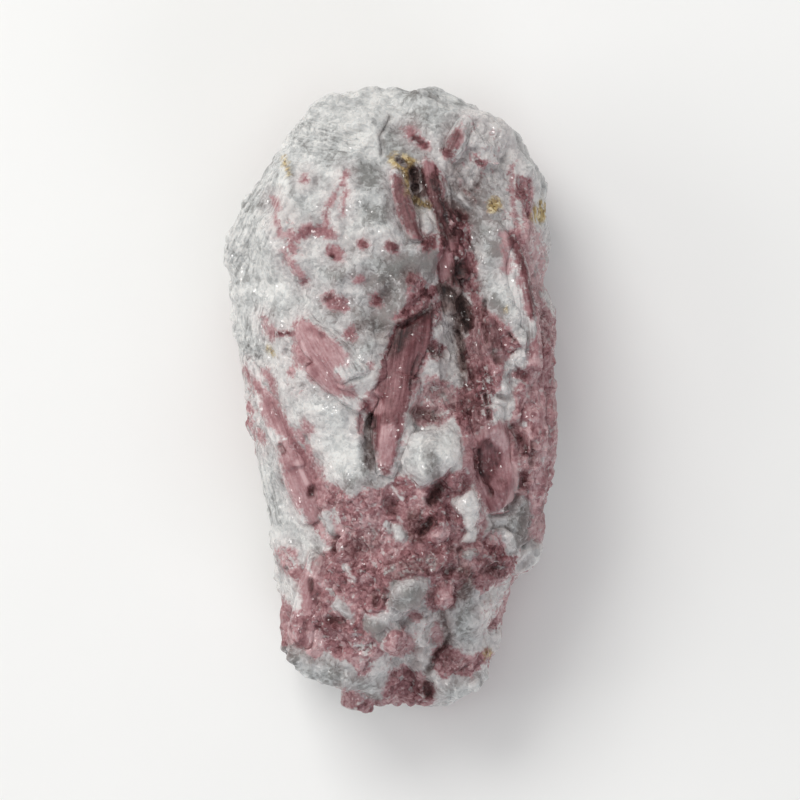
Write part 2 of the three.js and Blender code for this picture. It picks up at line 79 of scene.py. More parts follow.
# Granular rubellite. Tone 0 is pale pink and 1 the darkest maroon.
GRANULAR_AREAS = {
    "middle mass": (
        0.55, 0, (-8.6, -10.4), (-7, -10.8), (-6, -11.4), (-5, -12.4), (-4, -11.7), (-3, -11), (-1.4, -11.2),
        (0, -10.6), (0.6, -9.6), (2.2, -9.8), (3, -11.2), (5, -10.8), (7, -9.2), (9, -9), (10.4, -10.2),
        (11.2, -14), (11.2, -17), (10.4, -20), (9.2, -22.6), (8.2, -23.6), (7.6, -25.6), (6.4, -26.2),
        (4.6, -26), (4.2, -24.6), (4.9, -23.2), (4.6, -22.1), (3, -21.6), (1.2, -22.1), (-0.3, -22.6),
        (-0.8, -24.4), (-0.7, -26.2), (-3.4, -26.7), (-7, -26), (-10, -22), (-9.6, -20.2), (-8.4, -19.1),
        (-7.3, -18.6), (-7, -17), (-6.3, -15), (-6.9, -13.4), (-8.6, -13.8),
    ),
    "lower left mass": (
        0.5, 0, (-15.2, -25.2), (-13.6, -24.8), (-12.4, -26.3), (-11.5, -26.8), (-11.2, -25.8), (-11.6, -24),
        (-11.7, -22.6), (-12.4, -22.2), (-13.3, -21.6), (-13.4, -19.8), (-14.3, -19), (-13.3, -18.5),
        (-12.1, -19.1), (-11.9, -20.7), (-11.3, -20.7), (-9.8, -21.9), (-7, -22), (-3.6, -24), (-3.4, -27),
        (-3.8, -28.4), (-1.6, -30.4), (-0.9, -31.4), (-2.8, -33), (-3.3, -34.2), (-4.2, -34.2), (-4.7, -33),
        (-6.8, -31.6), (-8.5, -31), (-9.2, -31.7), (-10.2, -31.6), (-10.8, -31), (-12.4, -30.5), (-15, -29.8),
    ),
    "right flank": (
        0.34, 0, (14.9, 20.4), (16, 17.6), (17, 14.4), (17.7, 11.6), (18, 9.4), (17.7, 7.4), (17, 6.4),
        (16.9, 4.2), (16.3, 2.4), (15.4, 1.4), (15.3, -1), (14.6, -3), (15.8, -5), (16, -8), (15.8, -10.4),
        (15.4, -12.2), (17.2, -12.6), (17.2, -17.4), (18.4, -17.8), (23, -17), (23, 7), (20.6, 9.6),
        (18.6, 12.4), (17.5, 16), (16.6, 20.4),
    ),
    "gully wall": (
        0.62, 0, (8.6, 17.6), (9.4, 18.2), (10.2, 17.6), (10.6, 16), (10.3, 14.6), (10.6, 12.8), (11, 11.6),
        (12, 10.6), (13.2, 9.7), (14.3, 9), (14.5, 8.2), (15.3, 7.1), (16, 6.4), (15, 5.6), (13.9, 4.8),
        (13.6, 2.8), (13, 1), (12.2, -0.4), (12.4, -2.6), (10.6, -4), (8.8, -4.6), (7.8, -2.6), (7.4, -0.6),
        (8.8, 0.8), (9.6, 3), (9, 5.4), (9.2, 7.2), (9.8, 9.2), (9.6, 11.6), (8.8, 14),
    ),
    "low right mass": (
        0.72, 0, (10.4, -17.4), (12.4, -16.6), (13.5, -17.1), (14.1, -19.4), (15.6, -19.6), (15.9, -20.6),
        (14.6, -21.6), (13.6, -22.6), (12.4, -23.2), (11.8, -24), (10.4, -23.4), (9.6, -22), (9.8, -20),
    ),
    "column head": (
        0.8, 0, (1.8, 14.8), (2.3, 15.4), (3.2, 15.2), (3.9, 14.4), (5.4, 13.8), (5.6, 12.9), (4.6, 12),
        (4.6, 10.9), (3.2, 9.8), (1.2, 10), (0.2, 9.8), (1.5, 11.2), (2.3, 12.4), (1.9, 13.6),
    ),
    "right patch": (
        0.58, 0, (15.6, 27.6), (17.2, 27.4), (17.5, 25.6), (17.4, 23.6), (17.4, 21.6), (18.2, 20.2),
        (17, 19.6), (16.2, 21.8), (16.2, 24.4), (15.3, 25.2), (15.4, 26.4),
    ),
    "foot patch": (
        0.57, 0, (5, -32.8), (5.6, -31.6), (6.4, -30.8), (7.4, -31), (8.6, -31.6), (10, -32), (11.8, -31.2),
        (12.7, -32), (12.4, -32.8), (11.2, -33), (10.6, -33.7), (9.8, -34.5), (8.8, -34.5), (7.6, -34.2),
        (6.8, -35), (5.8, -34.4), (5.2, -33.6),
    ),
    "foot middle": (
        0.5, 0, (-0.8, -35.8), (-0.2, -34.2), (1.8, -33.2), (2.4, -34), (3.5, -34.2), (4.2, -35.2),
        (5.2, -36.4), (5.2, -37.8), (3.2, -39.6), (-1.2, -39.6), (-1, -37.4),
    ),
    "gully prism": (
        0.96, 0, (3.4, 28.4), (4.4, 29.4), (5.4, 28.8), (6.2, 27.4), (6.4, 25.4), (7.4, 23.6), (9.2, 22.6),
        (9.6, 21.4), (9.8, 19.6), (8.8, 17.8), (8.4, 17), (7.4, 15.4), (7, 14.4), (5.8, 14.3), (5.6, 16),
        (5.9, 18.4), (6, 20.6), (5.6, 22.4), (4.8, 24.2), (4, 26),
    ),
    "edge spots": (0.6, 0.35, (-18.2, -1), (-17.4, -1.6)),
    "edge strand": (0.46, 0.3, (-18, -2.8), (-16.9, -3.8), (-16.1, -4.8)),
    "round grain": (0.48, 1.2, (-6.4, -22.8)),
    "low spot": (0.15, 0.6, (2.9, -26.9)),
    "low edge": (0.3, 0.38, (15.3, -22.6), (15, -24.2), (14.2, -25.8), (13.6, -27.4), (12.7, -28.3)),
    # The gully's slot: its darkest maroon is partly painted shade
    "gully slot": (
        0.97, 0, (7.4, 14.2), (7.6, 15.6), (8.2, 16.6), (8.9, 17.3), (9.3, 16.4), (9, 14.9), (8.4, 13.8),
    ),
    "flank brown": (0.88, 0.6, (15.3, 3.2), (16.4, 2.9)),
    "centre grain": (0.68, 0.7, (5, 1.4), (6, 0.9), (7, 0.4)),
    "shell side": (0.88, 0.6, (15.9, -5), (16.4, -6.6)),
    "shell side low": (0.8, 0.6, (16.5, -9.6), (16.5, -10.8)),
    "block side": (0.4, 0.4, (7.3, -12.8), (7.6, -14.4)),
    "block foot": (0.1, 0.9, (7.4, -15.8), (5.6, -17)),
    "line foot": (0.6, 0.45, (13.8, 20.2), (15.4, 20.6)),
    "column rim": (0.4, 0.2, (-3.8, -1.8), (-3.9, -4)),
    "tail light": (0.16, 1, (-9.6, -29.4), (-9.6, -31)),
    "tail dark": (0.76, 0.7, (-7.6, -27.4), (-6.4, -28.2)),
    "tail plum": (0.48, 1.3, (-6.6, -29.8), (-6.2, -31)),
    "foot patch top": (0.6, 0.6, (5.8, -32), (6.8, -31.3)),
    # Painted shade down the column's left side and in the notch under the head
    "column dark side": (0.95, 0.45, (1, 9), (0, 6.6), (-0.8, 4.6)),
    "head notch": (1.05, 0.4, (4.4, 10.9), (2.8, 9.9), (1.5, 9.3)),
    "flank low": (0.6, 1.5, (16.6, 0.4), (17.8, -4.6)),
    "flank foot": (0.5, 0.8, (18.8, -10.5), (18.8, -14.6)),
    "mass upper": (0.74, 0.8, (2, -10.8), (2.4, -13)),
    "mass pale": (0.2, 0.8, (-3.2, -22.4)),
    "low left edge": (1, 0.6, (-13.6, -28.8), (-13.4, -30.2)),
    "round stub": (0.42, 1.25, (6.3, -24.5)),
    "pair stub": (
        0.52, 0, (0, -28.4), (1.2, -28.8), (2.2, -29.6), (2.7, -30.4), (2.4, -31.4), (1.4, -31.9),
        (0.2, -31.8), (-0.8, -31.2), (-0.9, -29.6),
    ),
    "tail crystal": (
        0.62, 0, (-6.2, -36.2), (-5, -36.6), (-4, -37.2), (-2.6, -37.8), (-1.5, -38), (-2, -40),
        (-5.6, -39.6), (-6.6, -37.4),
    ),
}
# Rubellite that grew in smooth or striated crystals and thin veins
CRYSTAL_AREAS = {
    "left bundle": (
        0.5, 0, (-18.9, 3.7), (-18.1, 4.1), (-16.8, 2.5), (-15.4, 1), (-14.3, 0), (-13.4, -1.9), (-12.2, -4),
        (-9.8, -7.7), (-8.8, -9.4), (-8, -10.4), (-8.6, -13.8), (-9.2, -15.2), (-8.7, -17.3), (-9.8, -15.9),
        (-11.6, -13.3), (-13.2, -9.6), (-13.9, -7), (-14, -5.7), (-13, -5), (-15.1, -3.2), (-16.1, -2),
        (-16.2, -0.2), (-17.4, 1.8),
    ),
    "bundle body": (0.42, 0.95, (-12.2, -10.2), (-11, -12.9)),
    "bundle streak": (0.7, 0.4, (-14.9, -0.8), (-13.4, -3.6), (-10.9, -7), (-9.4, -9.4)),
    "bundle pale streak": (0.05, 0.22, (-11.8, -8), (-10.5, -10.4)),
    "bundle upper streak": (0.66, 0.3, (-18, 3.3), (-16.2, 0.6), (-15.2, -0.8)),
    "edge patch": (0.5, 0.42, (-15.8, 3.4), (-15, 2.4), (-14.7, 0.9)),
    "shell": (
        0.5, 0, (10.6, -4.2), (12.2, -3), (14.2, -2.8), (15.2, -4.6), (16, -6.6), (15.9, -9.6), (15.3, -12.2),
        (14, -13.9), (12, -14.2), (11.2, -13), (10.2, -11), (9.6, -9.6), (8.8, -8), (8.8, -5),
    ),
    "shell rim": (-0.1, 0.35, (15, -8.2), (15.3, -10), (15.1, -11.6), (14.3, -12.9), (13.9, -13.8)),
    "shell crown": (0.22, 0.8, (12.9, -4.5), (13.8, -5.6)),
    "shell middle": (0.7, 1, (12.8, -6.8), (12.9, -9)),
    # The shell's hollow: dark maroon, the darkest of it partly painted shade
    "shell hollow": (
        0.98, 0, (10.6, -5.3), (12, -4.8), (12.6, -5.8), (13.5, -6.7), (13.6, -7.4), (13, -8.6), (12.9, -9.6),
        (12.4, -10.4), (12.1, -11.6), (11.8, -11), (11.4, -9.9), (10.6, -9.2), (10.3, -8.4), (10.5, -7),
    ),
    "shell lower": (0.72, 1.2, (13.4, -10.8), (12.9, -13)),
    "middle column": (
        0.84, 0, (1.2, 9.2), (2.8, 10.2), (5, 11.4), (5.3, 9), (4.4, 6.2), (3.3, 3.4), (2.6, 0.8),
        (1.7, -1.8), (1.3, -4.4), (0.6, -7), (-0.2, -9), (-1, -9.8), (-1.6, -8.2), (-2.1, -5.6), (-2.2, -2.4),
        (-3.6, -1.4), (-3.9, -0.6), (-2.6, 0.4), (-1.6, 2.8), (-0.6, 5.4), (0.4, 7.4),
    ),
    # Painted shade: the column's dark left edge and the shadow under the head, and the shade on its left face
    "column dark edge": (1, 0.6, (4.3, 10.2), (1.7, 9), (0.3, 6.2), (-0.6, 4)),
    "column shade": (0.74, 0.5, (-0.2, 5.6), (-1.2, 2.4)),
    "column tip": (0.36, 0.9, (-0.4, -4), (-0.9, -7.4)),
    "gully prism head": (0.62, 0.8, (4.4, 28.5)),
    "gully prism foot": (0.45, 0.75, (6.6, 17.4), (6.4, 15.2)),
    "gully prism mauve": (0.66, 0.3, (4.4, 27), (5.4, 24.2), (6.6, 21.4), (7.6, 18.6)),
    "needle": (
        0.95, 0, (0, 28), (0.8, 27.8), (2, 25.2), (2.7, 22.6), (3.6, 20.4), (4.6, 20), (5.7, 20.4),
        (5.5, 18.6), (4.5, 18), (3.8, 18.1), (3.3, 19.6), (2.4, 20.2), (1.6, 20.9), (0.8, 22.8), (0.1, 25.6),
    ),
    "plates": (
        0.42, 0, (-11, 10.1), (-8.8, 8.3), (-7.2, 7.3), (-5.6, 5.4), (-5.8, 4.1), (-6.8, 3.9), (-7, 3.4),
        (-6.1, 2.2), (-5.6, 1.4), (-4.2, 1.1), (-4.4, 0.2), (-6, 0.2), (-8.6, 1.4), (-9.9, 2.2), (-10.8, 3.6),
        (-12, 4.2), (-12.3, 6), (-11.9, 7.6), (-12.2, 9),
    ),
    "plates dark": (0.7, 0.4, (-10, 8.6), (-8.6, 7.6)),
    "plates fold": (0.62, 0.3, (-9.9, 4.4), (-9.2, 2.9)),
    "plates pale": (0.12, 0.28, (-10.9, 6.8), (-10.3, 5.2)),
    "tongue": (
        0.4, 0, (-16, 10.3), (-15.4, 9.4), (-14.2, 8.5), (-13.2, 8.2), (-12.2, 8.4), (-11.6, 8.2),
        (-11.7, 7.6), (-12.8, 7.7), (-14, 7.5), (-15, 7.3), (-15.6, 8.2),
    ),
    "tongue dark": (0.92, 0.3, (-14.3, 8), (-12.2, 8)),
    "heart": (
        0.68, 0, (-8.7, 12.2), (-8, 13), (-7.3, 13.2), (-6.8, 12.6), (-6, 12.6), (-5.4, 12.1), (-5.2, 11.2),
        (-5.9, 10.6), (-6.8, 10.7), (-7.8, 11.3),
    ),
    "heart dark": (1, 0.4, (-8.2, 12.3), (-7.6, 12.6)),
    "dome vein": (0.55, 0.24, (-5.7, 28), (-6, 26.8), (-6.9, 25.4), (-7.8, 23.8), (-8.2, 22.4), (-8, 21.6)),
    "dome strand": (0.5, 0.16, (-5.8, 26.6), (-5.8, 25.2), (-6.1, 22.6)),
    "dome bar": (0.66, 0.65, (-7.5, 20.3), (-8.8, 20.8), (-10.2, 20.8), (-11.2, 20.4)),
    "dome spot": (0.6, 0.48, (-10.7, 27.1)),
    "shoulder strand": (0.5, 0.15, (-14.2, 23.2), (-14.4, 22.2), (-13.8, 20)),
    "falling vein": (0.5, 0.55, (-12.5, 20), (-12.2, 18.6)),
    "falling vein low": (0.42, 0.3, (-13.2, 18), (-12.9, 16.8), (-12, 16), (-11.2, 15.2), (-10.8, 14.6)),
    "falling vein end": (0.75, 0.55, (-10.8, 14.4)),
    "oval grain": (0.6, 0.85, (-7.3, 18), (-6.8, 17.8)),
    "oval grain dark": (1.25, 0.32, (-7.4, 17.5)),
    "small grain": (0.95, 0.52, (-3.7, 19.1), (-3.4, 18.9)),
    "needle grain": (1, 0.65, (-0.2, 18.8), (0.3, 18.6)),
    "faint grain": (0.56, 0.45, (-4.3, 14.6), (-3.7, 14.7)),
    "ring grain": (0.9, 0.75, (-1.9, 12.1)),
    "curled grain": (0.7, 0.85, (-5, 8)),
    "dot by the column": (0.5, 0.34, (-2.6, 4)),
    "dot by the plates": (0.5, 0.34, (-12.4, 3.2)),
    "white field grain": (
        0.48, 0, (-11.2, -3), (-10.9, -2.6), (-9.9, -3.2), (-9.6, -3.9), (-10.3, -4.5), (-11.1, -3.9),
    ),
    "crown patch": (
        0.62, 0, (1.4, 33.4), (2.3, 33.7), (3.1, 33), (3.6, 32.2), (4.5, 30.9), (3.4, 31.4), (2.4, 31.8),
        (1.7, 32.6),
    ),
    "crown patch dark": (1.1, 0.45, (2.8, 32.3), (4.1, 31.3)),
    "crown rod": (0.8, 0.75, (7.9, 32.5), (6.9, 30.6)),
    "right band": (1.05, 0.28, (10.2, 29.8), (11.2, 29.1)),
    "right line": (0.6, 0.2, (14.7, 28.6), (14.9, 26), (15.2, 23), (15.8, 20.6)),
    "block line": (0.36, 0.48, (13.9, 20.2), (14.1, 18), (14.2, 15.8)),
    "right streak": (1.02, 0.6, (14.9, 19.8), (15.6, 18), (16.3, 16.2), (16.9, 14), (17.2, 12), (17.2, 10.4)),
    "right pale streak": (0.66, 0.32, (16, 14.6), (16.5, 12.6), (16.8, 10.8)),
    "tail column": (
        0.5, 0, (-12, -20.6), (-11.4, -20.9), (-10.3, -22.2), (-10.2, -24.4), (-10, -26.2), (-10.6, -26.5),
        (-11.2, -25.8), (-11.6, -24), (-11.7, -22.4),
    ),
    "tail strip": (0.5, 0.5, (-13.4, -25.6), (-13.4, -30)),
    "tail pale line": (0.1, 0.16, (-13, -28.2), (-12.2, -29.6)),
    "wedge": (0.22, 0, (5, -29.2), (5.8, -28.2), (6.4, -29.2), (6.4, -30.4), (5.8, -30.4), (5.2, -29.8)),
    "shoulder dot": (0.42, 0.38, (-14.6, 24.6), (-14.2, 23.6)),
    "column face": (0.75, 0.9, (1.2, 4.8), (0.4, 2.4)),
    "bundle right": (0.45, 0.45, (-11.6, -4.4), (-10, -7), (-8.9, -9)),
    "knee": (0.36, 0.8, (-2.2, 0.2), (-1.6, -1.2)),
}
# White ground with a few small pink grains and a pink cast. The tone is of the pink.
FAINT_AREAS = {
    "head right": (
        0.3, 0, (7.6, 33.6), (9.6, 35), (13.6, 33.6), (15.4, 29.8), (15, 26), (12, 25.6), (9.6, 24.6),
        (8, 26.6), (7.4, 29.6),
    ),
    "dome left": (0.2, 0.9, (-13.2, 21.6), (-12, 18.6)),
    "by the plates": (0.3, 0.9, (-12.4, 5.6), (-11.4, 1.6)),
    "bundle side": (0.3, 0.9, (-17.6, 1), (-16.6, -5.6)),
    "right band": (0.35, 0.5, (11.2, 28.8), (12.6, 27.4), (14.5, 25.4)),
    "low middle": (
        0.36, 0, (-0.8, -28), (0.6, -22.8), (3.4, -22), (4.4, -24.6), (6.6, -28), (5.6, -31.8), (2.8, -33.4),
        (-0.6, -33.4),
    ),
    "gully fibres": (0.55, 0, (7, 8.4), (8, 8.4), (8.8, 4), (9.3, 0.6), (8.2, -0.4), (7.3, 1.6), (7.2, 4.6)),
    "low right": (
        0.3, 0, (10.6, -23.8), (13.8, -22.8), (14.8, -25), (13.8, -28.6), (12.2, -30.4), (11.4, -29),
        (11.4, -26.4),
    ),
    "right mauve": (0.3, 0.9, (12.6, 23.4), (14.4, 22.2)),
}
# Ground where small grains of pink and white are mixed. The tone is of the pink.
MIXED_AREAS = {
    "centre": (
        0.5, 0, (3.9, 10.8), (5.2, 12.4), (6, 12), (6, 9.8), (5, 9.6), (5, 7.4), (6.4, 6.6), (6.6, 5.4),
        (5.4, 5), (4.2, 5), (3.5, 2.8), (3.2, 1), (2.4, 0.6), (3.4, 4.4), (4, 7.4),
    ),
    "centre low": (
        0.4, 0, (3.2, 0.8), (4.6, 2.6), (6.6, 2.2), (8, 1), (7.8, -2), (5.8, -3), (3.2, -3.2), (2.2, -1.6),
    ),
    "gully shoulder": (0.55, 0, (8.4, 21.2), (9.3, 21.6), (9.5, 20), (9.2, 17.9), (8.8, 17.7), (8.6, 19.6)),
    "mass left": (0.4, 1, (-8.6, -13.6), (-7.8, -17)),
    "right flank top": (0, 0, (17.2, 20.2), (18.4, 20.6), (19.4, 16), (19, 13.4), (17.6, 14), (17, 16.6)),
    "hollow": (0.3, 0.9, (11.4, -15.4), (13.6, -17.4)),
    "salt and pepper": (
        0.55, 0, (-5, -28.2), (-3.8, -28), (-2.4, -30), (-1.6, -31.6), (-2.8, -33.6), (-4.2, -33.8),
        (-5, -31.8),
    ),
    "hollow side": (0.5, 0.9, (16.4, -12.8), (16.9, -15.2)),
    "mass grey": (0.5, 1.1, (-0.2, -21.4), (2.4, -21), (4.8, -20)),
    "wall": (0.8, 0.8, (11.8, 3.6), (11.6, -1.6)),
    "left mass top": (0.4, 0.9, (-13.2, -19.4), (-12.6, -20.6)),
}
# White and grey grains that lie in the pink. Tone 0 is the whitest and 1 dark grey.
WHITE_GRAINS = {
    "white lump": (
        0.3, 0, (2.2, -3.2), (3.2, -3.8), (4.4, -3.8), (5.6, -3.2), (6.9, -2.7), (7.9, -3.4), (8.6, -4.6),
        (8.8, -6.2), (8.4, -7.6), (7.8, -8.4), (6.6, -9.6), (5.6, -10.2), (4.8, -10.7), (3.6, -11.2),
        (2.8, -10.8), (2.2, -9.8), (1.2, -9.2), (0.6, -7.8), (0.9, -5.6), (1.6, -4.2),
    ),
    "pale block": (
        0.05, 0, (10.1, -10.5), (10.6, -11.8), (11.2, -13.2), (10.9, -14.4), (10.8, -16.4), (10.4, -17.8),
        (9.4, -18), (8.4, -17.6), (9, -16.2), (8.6, -14.6), (7.9, -14.2), (7.2, -12.8), (7.6, -12),
        (8.6, -11.8), (9.6, -10.6),
    ),
    "grey hollow": (
        0.86, 0, (11.6, -14.6), (13.4, -14.2), (15, -12.8), (16, -11.9), (17.3, -12.6), (17.5, -14.4),
        (17.1, -16), (17.4, -17.6), (16.4, -18.6), (15.4, -19.4), (14.2, -19.4), (13.8, -18), (13.4, -17),
        (12.2, -16.5), (11.6, -17.4), (11, -17.6), (11.4, -16),
    ),
    "hollow white": (0.3, 0.6, (14.6, -17), (14.9, -18.4)),
    "white corner": (
        0.1, 0, (15.9, -19.4), (17.4, -17.8), (18.6, -17.6), (20.5, -18), (19.4, -21), (17, -22.4),
        (15.4, -22.8), (14.8, -21.4),
    ),
    "chip": (
        0.3, 0, (13.8, 3.4), (14.4, 5.2), (15.2, 5.8), (16.4, 6), (17.2, 5.4), (16.4, 4.4), (15.2, 3.4),
        (14, 2.6),
    ),
    "chip below": (0.4, 0, (13.2, 1.2), (13.8, 2), (14.8, 2), (15.2, 1), (14.8, 0.2), (13.8, 0.2)),
    "chip low": (0.25, 0, (12.3, -0.2), (13.2, 0.2), (15.1, -0.4), (15.2, -1.2), (14.3, -2.6), (13, -2.2)),
    "flank grain": (0.35, 0.5, (16.2, -3.2)),
    "needle block": (
        0.08, 0, (3.4, 23), (4.5, 23.6), (5.1, 22.4), (5.4, 20.9), (4.6, 20.1), (3.5, 20.5), (3, 21.8),
    ),
    "wedge grain": (
        0.6, 0, (6.6, 27), (7.5, 27.4), (9, 25.2), (9.9, 24.4), (9.8, 23.2), (9, 23.4), (8, 24.4), (7, 25.6),
    ),
    "gully chip": (0.4, 0.4, (9.3, 12.6), (9.7, 11.7)),
    "streak gap": (
        0.25, 0, (-6.4, -20.6), (-5.4, -20.2), (-5, -21.4), (-4.2, -22.4), (-4.6, -23), (-5.4, -22.2),
    ),
    "blue grain": (
        0.42, 0, (-8.2, -23.4), (-7.4, -23.6), (-6, -25), (-4.6, -26.6), (-4.8, -27.4), (-6, -27.2),
        (-7, -26.4), (-7.8, -25.8), (-7.2, -24.8),
    ),
    "low grey lump": (
        0.55, 0, (-3.9, -28.2), (-3.4, -26.8), (-2, -26.6), (-0.6, -26.4), (-0.4, -24), (0.2, -22.5),
        (1.2, -22.2), (3, -21.8), (4.6, -22.2), (4.8, -23.4), (4.1, -24.6), (3.9, -26), (2.6, -26.3),
        (1, -28.4), (0.2, -28.3), (-1, -29.6), (-1.6, -30.4),
    ),
    "sparkling gap": (0.45, 0.8, (-8.3, -14.4), (-7.6, -16.4)),
    "dark pit wall": (0.65, 0.4, (-0.6, -15.4), (-0.3, -16.6)),
    "pale strand": (0, 0.15, (-3.8, -14.2), (-1.8, -16.8)),
    "low block": (0.35, 0, (0.2, -15.2), (1.4, -15.4), (2.2, -17), (1.4, -18.2), (0.2, -17.6), (-0.4, -16.2)),
    "seam grain": (0.2, 0.42, (8.6, -21)),
    "centre grain": (0.15, 0, (5.4, 7.2), (5.3, 8.6), (5.9, 9.5), (6.6, 9.3), (6.8, 8), (6.5, 7), (5.9, 6.7)),
    "centre strip": (0, 0, (6.4, 6.2), (7, 6.4), (7.3, 4.4), (7.2, 2.6), (6.4, 2.2), (6.2, 3.6)),
    "low grain": (0.65, 0, (8.6, -18.6), (10.4, -18.2), (10.8, -19.4), (9.6, -20.2), (8.4, -19.8)),
    "pale strand upper": (0.15, 0.26, (0, -10.9), (1.2, -12.4)),
}
# Stretches of the white ground, and of what lies in it, that are greyer or whiter than the rest. Some of the
# grey is greyer quartz and some is painted shade, below the dome's ledge, on its turned-away side and in
# clefts.
GREY_STRETCHES = {
    "dome quartz": (0.85, 0.9, (-8.6, 26.6)),
    # Painted shade on the dome's turned-away right side and below its ledge
    "dome edge": (0.8, 1.5, (-3.2, 28), (-2, 25.6), (-1.6, 23.2)),
    "dome foot": (0.66, 0.5, (-11.8, 23.6), (-10.6, 22.6), (-8.9, 22.3)),
    "dome white": (0.05, 1.4, (-12.6, 27.6), (-13.6, 22)),
    "head quartz": (0.55, 0.9, (-8.6, 30.6), (-6.8, 29.6)),
    "head edge": (1, 0.9, (2, 38.6), (5.6, 38.4)),
    "head end": (0.55, 1.2, (5, 38.6), (8.6, 37.4)),
    "crack side": (0.35, 0.5, (-0.7, 33.8), (-0.4, 31.8)),
    "mauve ground": (0.36, 1.2, (8.6, 34.4), (11.4, 33), (13.4, 32.2)),
    "mauve ground low": (0.25, 0.9, (10.4, 32.2), (9.4, 31)),
    "sparkling head": (0.48, 1.2, (8, 28.4), (9.6, 26.4)),
    "gully side": (1, 1.2, (11.2, 25.4), (11.2, 22), (11.6, 19.8)),
    "block top": (1.1, 0.8, (12.6, 18.8), (13, 18.2)),
    "block white": (0.42, 1.2, (12.6, 16), (13.2, 12.8)),
    "block foot": (0.6, 0.7, (16.6, 8)),
    "centre grey": (1.1, 1.5, (4.6, 16.8), (1.2, 15.6)),
    "centre shade": (1, 0.8, (-3.8, 18), (-2.6, 13.4)),
    "column side": (0.6, 0.9, (-3.2, 6.6), (-2, 6.4)),
    "middle white": (0.1, 1.6, (-6, -3), (-6.6, -7.6)),
    "low left white": (0.35, 1.2, (-13.4, -15.4), (-11.4, -18.4)),
    "lobe": (0.25, 1, (-12.8, -23.4), (-12, -25.2)),
    "foot slab": (0.74, 1.5, (-13, -31.8), (-10, -33.2), (-6, -34.6), (-2.6, -36.4)),
    "foot slab light": (0.5, 0.5, (-9.6, -33.2), (-7.8, -34.2)),
    "grey mass": (0.68, 1.5, (9, -26.4), (9.4, -28.8)),
    "grey mass top": (0.95, 0.7, (9.2, -23.6)),
    "low right white": (0, 1.2, (13.2, -24.2), (12.6, -26.6)),
    "low right sparkle": (0, 0.8, (13.2, -29.6)),
    "low white": (0, 1.1, (4, -27.8), (3.6, -31.4)),
    "foot right": (0.45, 1.4, (6.4, -37), (8.6, -36.2)),
    "grey lump dark": (1.15, 0.9, (-3, -28.4), (-1.8, -28.8)),
    # Painted shade along the curled tail
    "curled tail": (1.25, 0.5, (-4.2, 8.9), (-2.6, 9.5), (-1.4, 8.9)),
    "centre quartz": (1.05, 2, (-0.6, 16), (0.4, 13.4), (-0.6, 11)),
    "centre quartz low": (0.95, 1.3, (-3.6, 10.6), (-4.2, 8)),
    "below the dome": (0.6, 1.8, (-5, 17), (-8, 15), (-8, 10.4)),
    "crown ground": (0.85, 1.5, (3.8, 34.6), (1, 31.6), (3, 30.4)),
    "crown ground right": (0.55, 1.2, (6, 34.4), (8.2, 33.6)),
    "lump cleft": (1.05, 0.75, (4.7, -7), (5.1, -8.8), (5.4, -9.6)),
    "lump right": (0.1, 1.2, (6.4, -4.6), (7.2, -6.4)),
    "dome fold": (0.7, 0.5, (-12.5, 29), (-12.4, 25.4)),
    "gutter foot": (0.86, 0.9, (-5.2, -11.2), (-2.6, -10), (-3.2, -6)),
    "low lump": (1, 1.3, (3.4, -24.8), (1.6, -24.8)),
    "block pale": (0.15, 1, (15.2, 12.6), (15.6, 10.6)),
    "left shoulder": (0.62, 1.2, (-15, 29.4), (-17.4, 22.8)),
    "needle foot": (0.95, 0.8, (1.4, 20.8), (2.6, 19.4)),
    "wall top": (0.8, 0.8, (11.2, 13.6), (13, 10.8)),
    "right ground": (0.8, 1, (12.8, 22.4), (13.2, 20.6)),
    "head left": (0.6, 0.9, (-10.4, 31)),
    "head right": (0.1, 1.5, (13.2, 30.4), (12.6, 33.8)),
    "knee ground": (0, 1.1, (-4.8, -1.2), (-3.2, -0.4)),
}
